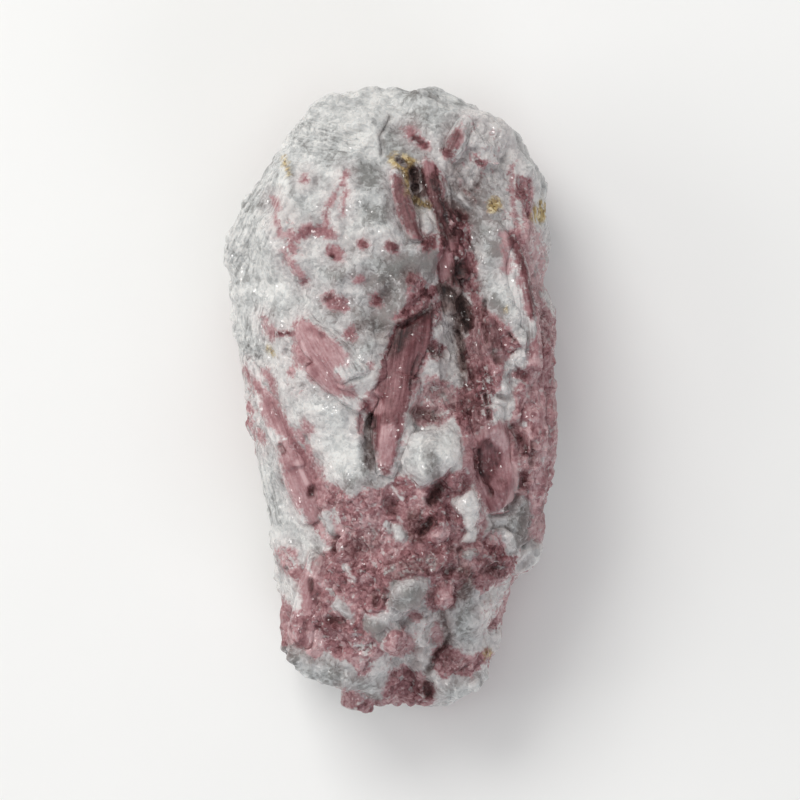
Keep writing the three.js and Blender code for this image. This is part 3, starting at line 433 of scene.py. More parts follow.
# Stretches darkened by a brown film: partly dirt between the grains, and partly painted shade in the gully,
# the recesses and under overhangs. The tone is how dark they are.
DIRTY_AND_SHADED_STRETCHES = {
    "gully bed": (
        2, 0, (5.9, 13.9), (7, 13.8), (8, 13.3), (8.8, 12.3), (9.5, 11.1), (9.9, 10), (9.8, 9), (9.2, 8.3),
        (8.4, 8.6), (8.1, 9.6), (7.7, 10.8), (7, 12), (6.2, 12.8),
    ),
    "gully slot": (1.6, 0.7, (8.2, 16), (7.9, 14.7)),
    "gully wall": (0.25, 1.1, (9.3, 16.2), (10, 13.6)),
    "gully wall low": (0.3, 1.2, (10.6, 10), (10.4, 6)),
    "gully prism side": (0.95, 0.7, (6.8, 24.2), (8.8, 22.6)),
    "gully prism middle": (0.75, 0.9, (5, 26.4), (7, 20.4)),
    "head side": (0.4, 0.9, (7.4, 28.4), (8, 26.6)),
    "head of the column": (0.55, 0.6, (4.6, 11), (2.6, 9.6), (1.2, 9)),
    "left of the column": (0.25, 0.6, (1, 8.6), (-0.6, 5.6), (-1.6, 2.6)),
    "right of the column": (0.15, 0.8, (4.2, 8.6), (3.4, 5.6), (2.8, 3)),
    "centre": (0.15, 1, (4.8, 11.2), (5, 10)),
    "centre patch": (0.65, 0.6, (4.9, 6), (5.8, 5.6)),
    "gutter": (0.7, 0.5, (-2.7, -3.6), (-2.7, -8)),
    "above the lump": (0.45, 0.9, (2.6, -1.9), (5.2, -2.2)),
    "wall hollow": (0.15, 0.7, (9.8, 3.8), (9.9, 1.2)),
    "wall top": (0.55, 1, (12.4, 6.6), (12.4, 8.4)),
    "shell side": (0.45, 0.7, (15, -3.8), (16.4, -6.8)),
    "shell side low": (0.45, 0.6, (16.4, -9.4), (16.2, -11.4)),
    "lump foot": (0.35, 0.8, (5.9, -11.2), (4.8, -12.9)),
    "middle low": (0.4, 1.1, (-4.8, -18.6), (-2.6, -17.2)),
    "middle right": (0.45, 0.9, (6.6, -21.4), (8.4, -20.4), (8.6, -18.6)),
    "low right": (0.25, 1.5, (11.6, -18.8), (12.4, -21)),
    "grey mass top": (0.9, 0.8, (9, -21.6), (9.2, -23.2), (8.8, -24.2)),
    "foot seam": (0.55, 0.5, (6.3, -26.6), (6.6, -28.2), (7.1, -29.8)),
    "foot recess": (0.65, 0.6, (4.3, -35.6), (4.6, -36.8)),
    "tail pit": (0.3, 0.8, (-7.8, -27.3), (-6.4, -27.8)),
    "left mass edge": (0.15, 0.5, (-10.2, -22.8), (-9, -25.4)),
    "cavity": (1.3, 0.8, (2.8, 27.8), (3.4, 25.8)),
    "gully fibres": (
        0.7, 0, (6.4, 12.4), (7.2, 12), (7.9, 9.8), (8.6, 6), (9.4, 1.8), (8.8, 0.4), (8.5, 3), (8, 6.6),
        (7.3, 10),
    ),
    "gully shoulder": (0.3, 0.7, (9.8, 22.4), (10, 18.8)),
    "cavity speckle": (0.75, 0.4, (8.1, 26.4), (9.4, 25.6), (10.2, 24.3)),
    "cavity strand": (0.65, 0.35, (10.9, 27.4), (10.2, 25.8)),
    "wall foot": (0.42, 1.2, (9.2, -0.6), (10.6, -1.8), (11, -3.4)),
    "low pit side": (0.8, 0.9, (2.8, -14.8), (3.1, -16.8)),
    "hollow side": (0.35, 1, (15.4, -13), (16.4, -15.6), (16.4, -17.4)),
    "crown rod": (0.5, 0.5, (7.9, 32.5), (6.9, 30.6)),
    "foot patch": (0.35, 1, (6.6, -32.6), (8.4, -33.4)),
    "gully line": (1.6, 0.3, (8.3, 8.4), (8.6, 6), (8.9, 3.6)),
    "column upper": (0.95, 0.7, (2.4, 9.3), (1.2, 7.6), (0.2, 5.8)),
    "ring grain side": (0.4, 0.8, (-0.6, 14.8), (-0.8, 12.4)),
    "curl": (0.55, 0.4, (-4, 8.9), (-2.6, 9.5), (-0.8, 8.7)),
    "lump cleft": (0.25, 0.75, (4.7, -5.6), (5.1, -8.8)),
    "centre shade": (0.6, 0.9, (2, 15.2)),
    "cavity hole": (2.6, 0.3, (2.7, 28.1), (3, 26.3)),
    "column slot": (2, 0.2, (-2.5, -2.4), (-2.4, -3.4)),
    "centre grain": (0.45, 0.7, (5.4, 1.1), (7, 0.3)),
    "mass grey": (0.45, 1, (0.2, -21.2), (2.4, -21), (5, -20.2)),
    "mass side": (0.42, 0.7, (-9.2, -19.6), (-9.2, -20.8)),
    "needle": (0.35, 0.8, (1.2, 26), (2.8, 21.4)),
    "gully slot low": (1.1, 0.8, (7.9, 13.6), (6.9, 11.6)),
    "column head": (0.45, 0.8, (-2, 8.4), (-1, 7.4)),
    "low left edge": (0.45, 0.7, (-13.2, -31), (-13.3, -32.4)),
}
# Iron stains, all of one strength, so their tone is always 1
OCHRE_STAINS = {
    "cavity": (
        1, 0, (-0.6, 29.9), (0.6, 30.6), (2, 30.1), (3.1, 29.5), (2.4, 28.3), (2.2, 26.6), (2.3, 25.3),
        (1.7, 25.2), (1.5, 26.6), (1, 28.2), (0, 28.7), (-0.7, 29.2),
    ),
    "cavity foot": (1, 0.42, (2.7, 24.9), (3.4, 24.2), (4.4, 23.8)),
    "flank": (
        1, 0, (17.1, 22.2), (17.5, 23.6), (18.3, 24.7), (19.5, 25.3), (20.4, 24.4), (20, 22.8),
        (18.6, 21.8),
    ),
    "shoulder": (1, 0.36, (-13.4, 30), (-13.1, 28.7), (-12.8, 27.8)),
    "green spot": (1, 0.75, (12.8, 24.2), (12.7, 23.6)),
    "thorn": (1, 0.26, (-15.4, 6.2), (-14.6, 5.4)),
    "speck": (1, 0.34, (14.2, 11)),
    "foot": (1, 0.5, (11.8, -31.6), (12.2, -32.2)),
}
# Recesses, sunk into the skin, that hold shadow and are darkened by a film that is partly dark dirt and
# partly painted shade. The tone is how deep the recess goes, in millimetres, and sets how dark the film is.
RECESSES = {
    "cavity hole": (1.7, 0.45, (2.7, 28.1), (3, 27.3)),
    "cavity hole low": (1.3, 0.38, (2.7, 26), (3.3, 26.2)),
    "cavity rim": (1.15, 0.3, (0.8, 29.6), (1.6, 28.9)),
    "crown crack": (0.55, 0.13, (-0.3, 34.9), (-0.8, 33.6), (-1.5, 32.6), (-1.2, 31.4), (-1.3, 30.2)),
    "head cleft": (0.3, 0.1, (2.2, 38.2), (4.6, 37.6), (7.2, 36.2)),
    "needle side": (0.5, 0.2, (8.2, 29.2), (8.3, 28.8)),
    "gully side": (0.9, 0.55, (6.6, 24.6), (8.2, 23.2), (9, 22.8)),
    "gully middle": (0.8, 0.45, (6.6, 22), (7.4, 20.4)),
    "gully slot": (1.1, 0.5, (8.6, 16.6), (8, 15)),
    "gully bed": (0.9, 0.5, (6.8, 13.2), (8.2, 11.9), (9.1, 9.8)),
    "gully edge": (0.7, 0.25, (8, 8), (8.7, 6.2), (8.9, 4)),
    "head notch": (0.8, 0.2, (4.2, 10.8), (2.6, 9.6), (1.3, 8.9)),
    "column crack": (0.7, 0.2, (3.3, 5.2), (2.6, 3.4), (2.4, 1.2)),
    "column slot": (1.5, 0.28, (-2.5, -2.4), (-2.4, -3.4)),
    "column gutter": (0.5, 0.26, (-2.8, -2.8), (-2.9, -5.6), (-2.6, -8.4)),
    "brown shade": (0.7, 0.3, (5, 6.1), (5.7, 5.7)),
    "lump shade": (0.7, 0.75, (3, -1.7), (5, -2.2)),
    "wall pit": (0.6, 0.35, (7, -0.6), (7.6, -0.9)),
    "wall line": (1.1, 0.2, (11.4, 12), (11.2, 9), (11.6, 7)),
    "wall dark": (1, 0.5, (12.6, 5.4), (13.2, 4.8)),
    "wall hollow": (0.7, 0.5, (9.7, 3.4), (9.9, 1.6)),
    "wall gutter": (0.95, 0.2, (11.6, 0.4), (12.1, -2.4)),
    "tooth gap": (0.8, 0.2, (14.4, 8), (15.1, 7.1)),
    "flank brown": (0.5, 0.5, (15.8, 3), (16.4, 2.8)),
    "shell edge": (0.9, 0.3, (10.7, -6.6), (10.6, -8.4), (11.2, -9.6), (11.9, -10.8), (12.2, -11.8)),
    "shell side": (0.9, 0.32, (14.8, -3.4), (15.8, -4.9), (16.4, -6.4)),
    "shell side low": (0.6, 0.42, (16.4, -9.6), (16.4, -10.8)),
    "shell foot": (0.8, 0.28, (15.6, -12.2), (14.4, -13.9)),
    "flank line": (1, 0.22, (17.5, -5.4), (17.4, -8.2)),
    "bundle pit": (1, 0.35, (-9.9, -11.3), (-10, -11.9)),
    "bundle edge": (0.8, 0.2, (-13.9, -5.8), (-13.4, -6.6)),
    "bundle speck": (0.2, 0.2, (-12.9, -8.2), (-12.4, -8.8)),
    "lump pit": (1.5, 0.55, (5.8, -11), (5, -12.6)),
    "low pit": (1.3, 0.5, (4.8, -15.1), (3.7, -16.5)),
    "mass dark": (0.6, 0.6, (-0.3, -12.6), (0.1, -13.8)),
    "mass dark left": (0.5, 0.35, (-6.4, -13), (-6.9, -13.2)),
    "mass dark middle": (0.5, 0.6, (-4.9, -18.4), (-3.8, -18.9)),
    "mass edge": (0.8, 0.3, (-7.1, -17.4), (-7.1, -19)),
    "ring side": (0.25, 0.3, (-7.4, -23), (-6.6, -23.9)),
    "tail notch": (0.9, 0.28, (-10.1, -22.6), (-9.9, -23.8)),
    "tail speckle": (0.5, 0.3, (-9.5, -24.6), (-8.9, -25.6)),
    "tail pit": (0.9, 0.4, (-7.7, -27.3), (-6.5, -27.7)),
    "tail corner": (0.6, 0.2, (-10.8, -28), (-10.6, -28.8)),
    "mid dark": (1, 0.35, (-2.2, -24.2), (-2, -25.4)),
    "mid dark right": (0.8, 0.3, (-0.9, -23.8), (-0.9, -25.4)),
    "dark oval": (0.7, 0.5, (7.4, -18.5), (8.4, -18.6)),
    "dark band": (0.7, 0.5, (6.6, -21.4), (7.6, -21)),
    "hollow arc": (0.5, 0.16, (12.3, -16), (14.2, -15.9), (15.3, -16.8), (15.9, -17.6)),
    "low right dark": (0.7, 0.5, (11.4, -21.2), (12.8, -21)),
    "stub ring": (0.5, 0.2, (7.2, -26), (8, -24.6), (7.6, -23.2)),
    "stub ring left": (0.3, 0.22, (5, -25.6), (4.9, -24.2), (5.8, -23)),
    "foot seam": (0.9, 0.32, (6.1, -26.6), (6.6, -28.2), (7, -29.6), (6.7, -30.4)),
    "patch overhang": (1, 0.3, (5.1, -32.5), (5.6, -31.5), (6.5, -30.9)),
    "patch side": (0.7, 0.3, (4.9, -33.2), (4.4, -34)),
    "foot recess": (1.3, 0.55, (4.3, -35.7), (4.6, -36.8)),
    "foot speck": (0.5, 0.25, (1.9, -34.4), (2.4, -35.4)),
}
FACE_MARKS = (
    ("faint", FAINT_AREAS),
    ("granular", GRANULAR_AREAS),
    ("mixed", MIXED_AREAS),
    ("pink", CRYSTAL_AREAS),
    ("white", WHITE_GRAINS),
    ("grey", GREY_STRETCHES),
    ("dirt_and_shade", DIRTY_AND_SHADED_STRETCHES),
    ("ochre", OCHRE_STAINS),
    ("dark", RECESSES),
)
# Fibrous stretches: the place of the middle, the way that the fibres run, and half the length and breadth
FIBRES = {
    "left flank": ((-17.6, 21.0), (0.45, 0.89), (12.0, 4.2)),
    "left flank low": ((-17.4, 6.0), (0.3, 0.95), (8.0, 3.6)),
    "left edge": ((-16.4, -10.0), (-0.2, 0.98), (9.0, 3.0)),
    "head": ((-8.6, 32.6), (0.96, -0.28), (7.5, 3.4)),
    "gully": ((7.9, 8.6), (-0.3, 0.95), (9.5, 2.6)),
    "gully top": ((7.4, 21.0), (-0.42, 0.9), (7.0, 2.4)),
    "right band": ((16.4, 16.0), (-0.3, 0.95), (9.0, 2.6)),
    "right flank": ((19.0, 1.0), (0.02, 1.0), (13.0, 2.8)),
}
FIBRE_STRETCH = 0.94  # how far a fibre's pattern is drawn out: 1 would be endless

BARE, FAR = -4.0, 4.0  # millimetres: what a mark's field holds away from it, and how far it is worked out
# The fields of the surface, each with what it holds where there is no mark. Pink and ochre are how far inside
# such a mark a place lies, and sink is how deep the skin is sunk, both in millimetres.
FIELDS = {"pink": BARE, "tone": 0.5, "grain": 0.0, "grey": 0.32, "ochre": BARE, "dirt_and_shade": 0.0, "sink": 0.0}
# The fields that the materials read. They also read the drawn-out places, which are in millimetres.
KEPT_FIELDS = ("pink", "tone", "grain", "grey", "ochre", "dirt_and_shade", "fibre")
# How far the pink field may rise in each kind of ground: at 0 about half of the grains are pink
MOST_PINK = {"pink": 4.0, "granular": 4.0, "mixed": -0.1, "faint": -0.6}

# Flat faces that the stone breaks along: their size in millimetres, their tilt, how far they step in
# millimetres, and the number that their chance starts from
FRACTURES = ((4.4, 0.16, 0.2, 101), (2.1, 0.17, 0.1, 131))
FINE_FRACTURES = (1.0, 0.18, 0.04, 161)
SIDE_FRACTURES = (2.4, 0.3, 0.26, 171)
STUB_FRACTURES = (1.1, 0.25, 0.25, 321)
# Grains of the granular rubellite: their size, step and groove in millimetres, and such a number
CLASTS = ((2.8, 0.6, 0.2, 181), (1.3, 0.32, 0.22, 191), (0.75, 0.1, 0.07, 201))
# What a brown film of dirt and painted shade leaves of the light: linear red, green and blue, from none to
# the thickest film
DIRT_AND_SHADE_FILM = ((1, 1, 1), (0.34, 0.26, 0.25), (0.12, 0.07, 0.065), (0.04, 0.02, 0.018))

# The lights: where they stand and how wide they are in metres, their power in watts and their colour
LIGHTS = {
    "key": ((-0.3, 0.46, 0.66), 0.4, 3.5, "#fffefb"),
    "top": ((0.05, 0.05, 1.3), 0.9, 2.2, "#ffffff"),
    "left": ((-0.8, 0.1, 0.4), 0.6, 2.2, "#fffefb"),
    "low fill": ((0.35, -0.6, 0.4), 0.5, 1.2, "#f2f6ff"),
}
AIM = (1.0, -0.18, 13.0)  # millimetres: the point of the stone that the camera looks down on
LENS, SENSOR = 400, 36  # millimetres
FLOOR_GAP = 0.02  # millimetres between the stone and the floor
FEWEST_FACES = 1000  # a skin with fewer has failed
PRISM_STRETCH = (0.09, 1, 1)  # a prism's pattern along its length and across it
PRISM_APART = 40  # millimetres between the patterns of one prism and the next


def linear(colour):
    """The linear value of an sRGB colour written as #rrggbb."""
    parts = [int(colour[i : i + 2], 16) / 255 for i in (1, 3, 5)]
    return tuple(c / 12.92 if c <= 0.04045 else ((c + 0.055) / 1.055) ** 2.4 for c in parts)


def smooth(x, low, high):
    """0 below low and 1 above high, with a soft run between them."""
    t = np.clip((x - low) / (high - low), 0, 1)
    return t * t * (3 - 2 * t)


def hashed(cells, salt):
    """A repeatable number from 0 to 1 for each row of three whole numbers."""
    mix = cells[:, 0] * 73856093 ^ cells[:, 1] * 19349663 ^ cells[:, 2] * 83492791 ^ (salt * 40503 + 977)
    mix = ((mix ^ (mix >> 15)) * 2246822519) & 0xFFFFFFFF
    mix = ((mix ^ (mix >> 13)) * 3266489917) & 0xFFFFFFFF
    return (mix >> 8) / 0xFFFFFF


def cloud(points, size, salt, octaves=3):
    """Soft cloudy noise from about -1 to 1, its largest lumps as big as size."""
    total, weight, share = np.zeros(len(points)), 0.0, 1.0
    for octave in range(octaves):
        scaled = points / (size * 0.5**octave) + 31.7 * octave
        home = np.floor(scaled).astype(np.int64)
        t = scaled - home
        t = t * t * (3 - 2 * t)
        for corner in np.ndindex(2, 2, 2):
            near = np.prod(np.where(corner, t, 1 - t), axis=1)
            total += share * near * (2 * hashed(home + corner, salt + octave) - 1)
        weight += share
        share *= 0.5
    return total / weight


def grains(points, size, salt):
    """The nearest of scattered seeds: its cell, the way to it and how much nearer it is than the next."""
    home = np.floor(points / size).astype(np.int64)
    first, second = np.full(len(points), np.inf), np.full(len(points), np.inf)
    cell, way = home.copy(), np.zeros_like(points)
    for step in np.ndindex(3, 3, 3):
        there = home + np.array(step) - 1
        seed = (there + np.stack([hashed(there, salt + n) for n in range(3)], axis=1)) * size
        arm = points - seed
        away = np.einsum("ij,ij->i", arm, arm)
        closer = away < first
        second = np.where(closer, first, np.minimum(second, away))
        first = np.where(closer, away, first)
        cell[closer], way[closer] = there[closer], arm[closer]
    return cell, way, np.sqrt(second) - np.sqrt(first)


def facets(points, size, tilt, step, salt):
    """The height of a surface broken into flat facets, each tilted and stepped against the next."""
    cell, way, gap = grains(points, size, salt)
    lean = np.stack([hashed(cell, salt + n) - 0.5 for n in (3, 4, 5)], axis=1)
    height = 2 * tilt * np.einsum("ij,ij->i", way, lean) + step * (hashed(cell, salt + 6) - 0.5)
    return height * (0.35 + 0.65 * smooth(gap, 0, 0.3 * size))


def depth_inside(points, reach, shape):
    """How far inside a mark each place lies; less than 0 outside it."""
    corners = np.array(shape, float)
    if reach == 0:
        starts, ends = corners, np.roll(corners, -1, axis=0)
    elif len(corners) == 1:
        starts, ends = corners, corners
    else:
        starts, ends = corners[:-1], corners[1:]
    away = np.full(len(points), np.inf)
    inside = np.zeros(len(points), bool)
    for start, end in zip(starts, ends):
        run = end - start
        share = np.clip((points - start) @ run / max(run @ run, 1e-9), 0, 1)
        away = np.minimum(away, np.linalg.norm(points - start - share[:, None] * run, axis=1))
        if reach == 0 and run[1] != 0:
            beside = (start[1] > points[:, 1]) != (end[1] > points[:, 1])
            inside ^= beside & (points[:, 0] < start[0] + (points[:, 1] - start[1]) * run[0] / run[1])
    return np.where(inside, away, -away) if reach == 0 else reach - away


def painted(places):
    """What the marks say of each place of the face, seen from above."""
    fields = {name: np.full(len(places), value) for name, value in FIELDS.items()}

    def blend(name, near, cover, value):
        fields[name][near] += cover * (value - fields[name][near])

    def lift(name, near, values):
        fields[name][near] = np.maximum(fields[name][near], values)

    for kind, marks in FACE_MARKS:
        for tone, reach, *shape in marks.values():
            corners = np.array(shape)
            low, high = corners.min(0) - reach - FAR, corners.max(0) + reach + FAR
            near = np.flatnonzero(((places > low) & (places < high)).all(1))
            inside = np.maximum(depth_inside(places[near], reach, shape), BARE)
            cover = smooth(inside, -0.25, 0.25)
            if kind in MOST_PINK:
                lift("pink", near, np.minimum(inside, MOST_PINK[kind]))
                if kind == "mixed":
                    blend("pink", near, cover, MOST_PINK["mixed"])
                blend("tone", near, cover, tone)
                blend("grain", near, cover, float(kind != "pink"))
            elif kind == "white":
                fields["pink"][near] = np.minimum(fields["pink"][near], -inside)
                blend("grey", near, cover, tone)
                blend("grain", near, cover, 0.0)
                fields["sink"][near] -= 0.45 * smooth(inside, 0, 0.8) - 0.35 * np.exp(-((inside / 0.25) ** 2))
            elif kind == "grey":
                # Greyer quartz, and in places painted shade
                blend("grey", near, smooth(inside, -reach, 0.6 * reach), tone)
            elif kind == "dirt_and_shade":
                # Dirt and painted shade: a brown film as dark as the mark's tone
                lift("dirt_and_shade", near, tone * smooth(inside, -0.9, 0.5))
            elif kind == "ochre":
                lift("ochre", near, inside)
            else:
                # A recess sinks the skin, and a film of dirt and painted shade darkens it as deep as it goes
                lift("dirt_and_shade", near, 0.9 * tone * smooth(inside, -0.5, 0.4))
                fields["ochre"][near] = np.minimum(fields["ochre"][near], -2 * inside)
                fields["sink"][near] += tone * smooth(inside, -reach, 0.7 * reach)
    return fields


def fibre_run(points):
    """How fibrous the stone is at each point, and the point in coordinates drawn out along the fibres."""
    amount, drawn = np.zeros(len(points)), points.copy()
    for (x, y), (dx, dy), (length, breadth) in FIBRES.values():
        way = np.array((dx, dy, 0.0)) / math.hypot(dx, dy)
        arm = points - (x, y, 0)
        along = arm @ way
        across = arm @ (-way[1], way[0], 0)
        cover = smooth(-np.hypot(along / length, across / breadth), -1.0, -0.5)
        here = cover > amount
        drawn[here] = (points - FIBRE_STRETCH * along[:, None] * way)[here]
        amount = np.maximum(amount, cover)
    drawn[:, 2] *= 0.6
    return amount, drawn


def read_points(piece):
    """A piece's vertices and their normals, in millimetres."""
    count = len(piece.data.vertices)
    points, normals = np.empty(3 * count), np.empty(3 * count)
    piece.data.vertices.foreach_get("co", points)
    piece.data.vertex_normals.foreach_get("vector", normals)
    return points.reshape(-1, 3) / MM, normals.reshape(-1, 3)


def write_points(piece, points):
    """Moves a piece's vertices to the points given in millimetres, none of them below the resting face."""
    points[:, 2] = np.maximum(points[:, 2], 0)
    piece.data.vertices.foreach_set("co", (points * MM).ravel())
    piece.data.update()


def pick(piece):
    """Selects one object alone and makes it the active one."""
    bpy.ops.object.select_all(action="DESELECT")
    piece.select_set(True)
    bpy.context.view_layer.objects.active = piece


def apply(piece, kind, **settings):
    """Adds a modifier with its settings and applies it."""
    pick(piece)
    bpy.ops.object.modifier_add(type=kind)
    modifier = piece.modifiers[-1]
    for name, value in settings.items():
        setattr(modifier, name, value)
    bpy.ops.object.modifier_apply(modifier=modifier.name)


def remeshed(nodes, name, swell, cell, smoothing):
    """One closed skin round copies of CAD nodes, all but the stone's a little swollen to close on it."""
    copies = []
    for node in nodes:
        piece = bpy.data.objects.new(name, frame["nodes"][node].data.copy())
        bpy.context.collection.objects.link(piece)
        piece.data.materials.clear()
        pick(piece)
        bpy.ops.object.mode_set(mode="EDIT")
        bpy.ops.mesh.select_all(action="SELECT")
        bpy.ops.mesh.remove_doubles(threshold=1e-7)
        bpy.ops.object.mode_set(mode="OBJECT")
        if node != STONE:
            apply(piece, "DISPLACE", strength=swell, mid_level=0)
        copies.append(piece)
    pick(copies[0])
    if len(copies) > 1:
        for piece in copies:
            piece.select_set(True)
        bpy.ops.object.join()
    apply(copies[0], "REMESH", mode="VOXEL", voxel_size=cell)
    keep_largest(copies[0])
    apply(copies[0], "SMOOTH", factor=0.5, iterations=smoothing)
    return copies[0]


def keep_largest(piece):
    """Deletes what isn't joined to the vertex that lies highest."""
    points, _ = read_points(piece)
    pick(piece)
    bpy.ops.object.mode_set(mode="EDIT")
    bpy.ops.mesh.select_all(action="DESELECT")
    bpy.ops.object.mode_set(mode="OBJECT")
    piece.data.vertices[int(points[:, 2].argmax())].select = True
    bpy.ops.object.mode_set(mode="EDIT")
    bpy.ops.mesh.select_mode(type="VERT")
    bpy.ops.mesh.select_linked()
    bpy.ops.mesh.select_all(action="INVERT")
    bpy.ops.mesh.delete(type="VERT")
    bpy.ops.object.mode_set(mode="OBJECT")


def finish_piece(piece, node, material, fields, sharp):
    """Gives a piece its fields, material and shading, hangs it on the root body and hides the CAD node that
    it replaces.
    """
    for name in KEPT_FIELDS:
        field = piece.data.attributes.new(name, "FLOAT", "POINT")
        field.data.foreach_set("value", fields[name].astype(np.float32))
    field = piece.data.attributes.new("drawn", "FLOAT_VECTOR", "POINT")
    field.data.foreach_set("vector", fields["drawn"].astype(np.float32).ravel())
    piece.data.materials.clear()
    piece.data.materials.append(material)
    pick(piece)
    bpy.ops.object.shade_smooth_by_angle(angle=math.radians(sharp))
    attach(piece, "root")
    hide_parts(node)


def mark(piece, tree):
    """Works out the fields that the materials read, from the face's marks and from where the prisms lie."""
    points, normals = read_points(piece)
    upward = normals[:, 2]
    steep = smooth(-upward, -0.4, 0.15)[:, None]
    wander = np.stack([cloud(points, 5, 11, 2), cloud(points, 5, 17, 2)], axis=1)
    fields = painted(points[:, :2] + 3.2 * steep * wander)
    fields["tone"] += 0.4 * fields["grain"] * cloud(points, 3.2, 41, 2)
    # An ochre stain ends where the stone turns steep
    fields["ochre"] += smooth(-upward, -0.3, 0.1) * (BARE - fields["ochre"])
    # What faces down is pink in patches, more so to the right and the foot, and round the prisms
    under = smooth(-upward, -0.12, 0.3)
    right = smooth(points[:, 0], -6, 16)
    hidden = 5 * cloud(points, 9, 23, 3) - 1.3 + 1.5 * right + 1.2 * smooth(-points[:, 1], 5, 25)
    hidden = np.maximum(hidden, 0.5 - distances(points, tree))
    for name, value in (
        ("pink", np.clip(hidden, BARE, FAR)),
        ("tone", 0.45 + 0.3 * cloud(points, 4, 29, 2)),
        ("grain", smooth(cloud(points, 7, 31, 2), -0.2, 0.3)),
        ("grey", 0.45 + 0.5 * cloud(points, 7, 37, 3)),
        ("sink", 0.0),
        ("dirt_and_shade", 0.0),
    ):
        fields[name] += under * (value - fields[name])
    return points, normals, fields


def distances(points, tree):
    """How far each point lies from a tree of faces, in millimetres, up to FAR."""
    found = np.full(len(points), FAR)
    for i, point in enumerate(points):
        hit = tree.find_nearest(Vector(point * MM), FAR * MM)
        if hit[3] is not None:
            found[i] = hit[3] / MM
    return found


class SpecimenSizes(bpy.types.PropertyGroup):
    """Sizes of the specimen's surface"""

    voxel: FloatProperty(
        name="Skin cell", description="Spacing of the stone's skin before it is broken up",
        default=0.23 * MM, unit="LENGTH", precision=5,
    )
    prism_voxel: FloatProperty(
        name="Prism cell", description="Spacing of a prism's skin",
        default=0.2 * MM, unit="LENGTH", precision=5,
    )
    seat: FloatProperty(
        name="Seat", description="How far a prism swells to close on its socket",
        default=0.34 * MM, unit="LENGTH", precision=5,
    )
    most_faces: IntProperty(
        name="Most faces", description="Triangles that the stone's skin is thinned to", default=190000,
    )
    field_of_view: FloatProperty(
        name="Field of view", description="Breadth that the camera takes in at the stone's middle",
        default=100 * MM, unit="LENGTH",
    )


def colour_property(name, description, colour):
    """A colour that the user can change, from its sRGB value."""
    return FloatVectorProperty(
        name=name, description=description, subtype="COLOR", size=3, min=0, max=1, default=linear(colour)
    )


class SpecimenColours(bpy.types.PropertyGroup):
    """Colours of the specimen's minerals"""

    feldspar: colour_property("Feldspar", "The whitest feldspar", "#dedddb")
    quartz: colour_property("Quartz", "Cloudy quartz between the white", "#bbbcbc")
    smoky: colour_property("Smoky quartz", "The greyest quartz", "#848381")
    pale_pink: colour_property("Pale rubellite", "Thin or pale rubellite", "#c3a2a4")
    pink: colour_property("Rubellite", "Rubellite of middling tone", "#9b6f73")
    plum: colour_property("Plum rubellite", "Dark rubellite", "#6e3f43")
    maroon: colour_property("Maroon rubellite", "The darkest rubellite", "#4a1f23")
    pale_ochre: colour_property("Pale ochre", "Thin iron stain", "#d9c9a2")
    ochre: colour_property("Ochre", "Iron stain", "#b49a62")
    dark_ochre: colour_property("Dark ochre", "The darkest iron stain", "#6d5636")
    floor: colour_property("Floor", "The board under the stone", "#f4f4f3")


def put(tree, kind, sources=(), **settings):
    """Adds a shader node. Its sources go to its sockets by name or in order: values, outputs or nodes."""
    node = tree.nodes.new("ShaderNode" + kind)
    for name, value in settings.items():
        setattr(node, name, value)
    if not isinstance(sources, dict):
        sources = dict(enumerate(sources))
    for socket, source in sources.items():
        if isinstance(source, bpy.types.Node):
            source = next(output for output in source.outputs if output.enabled)
        if isinstance(source, bpy.types.NodeSocket):
            tree.links.new(source, node.inputs[socket])
        else:
            node.inputs[socket].default_value = source
    return node


def new_material(name):
    """A material without nodes, and its tree."""
    material = bpy.data.materials.new(name)
    material.use_nodes = True
    material.node_tree.nodes.clear()
    return material, material.node_tree


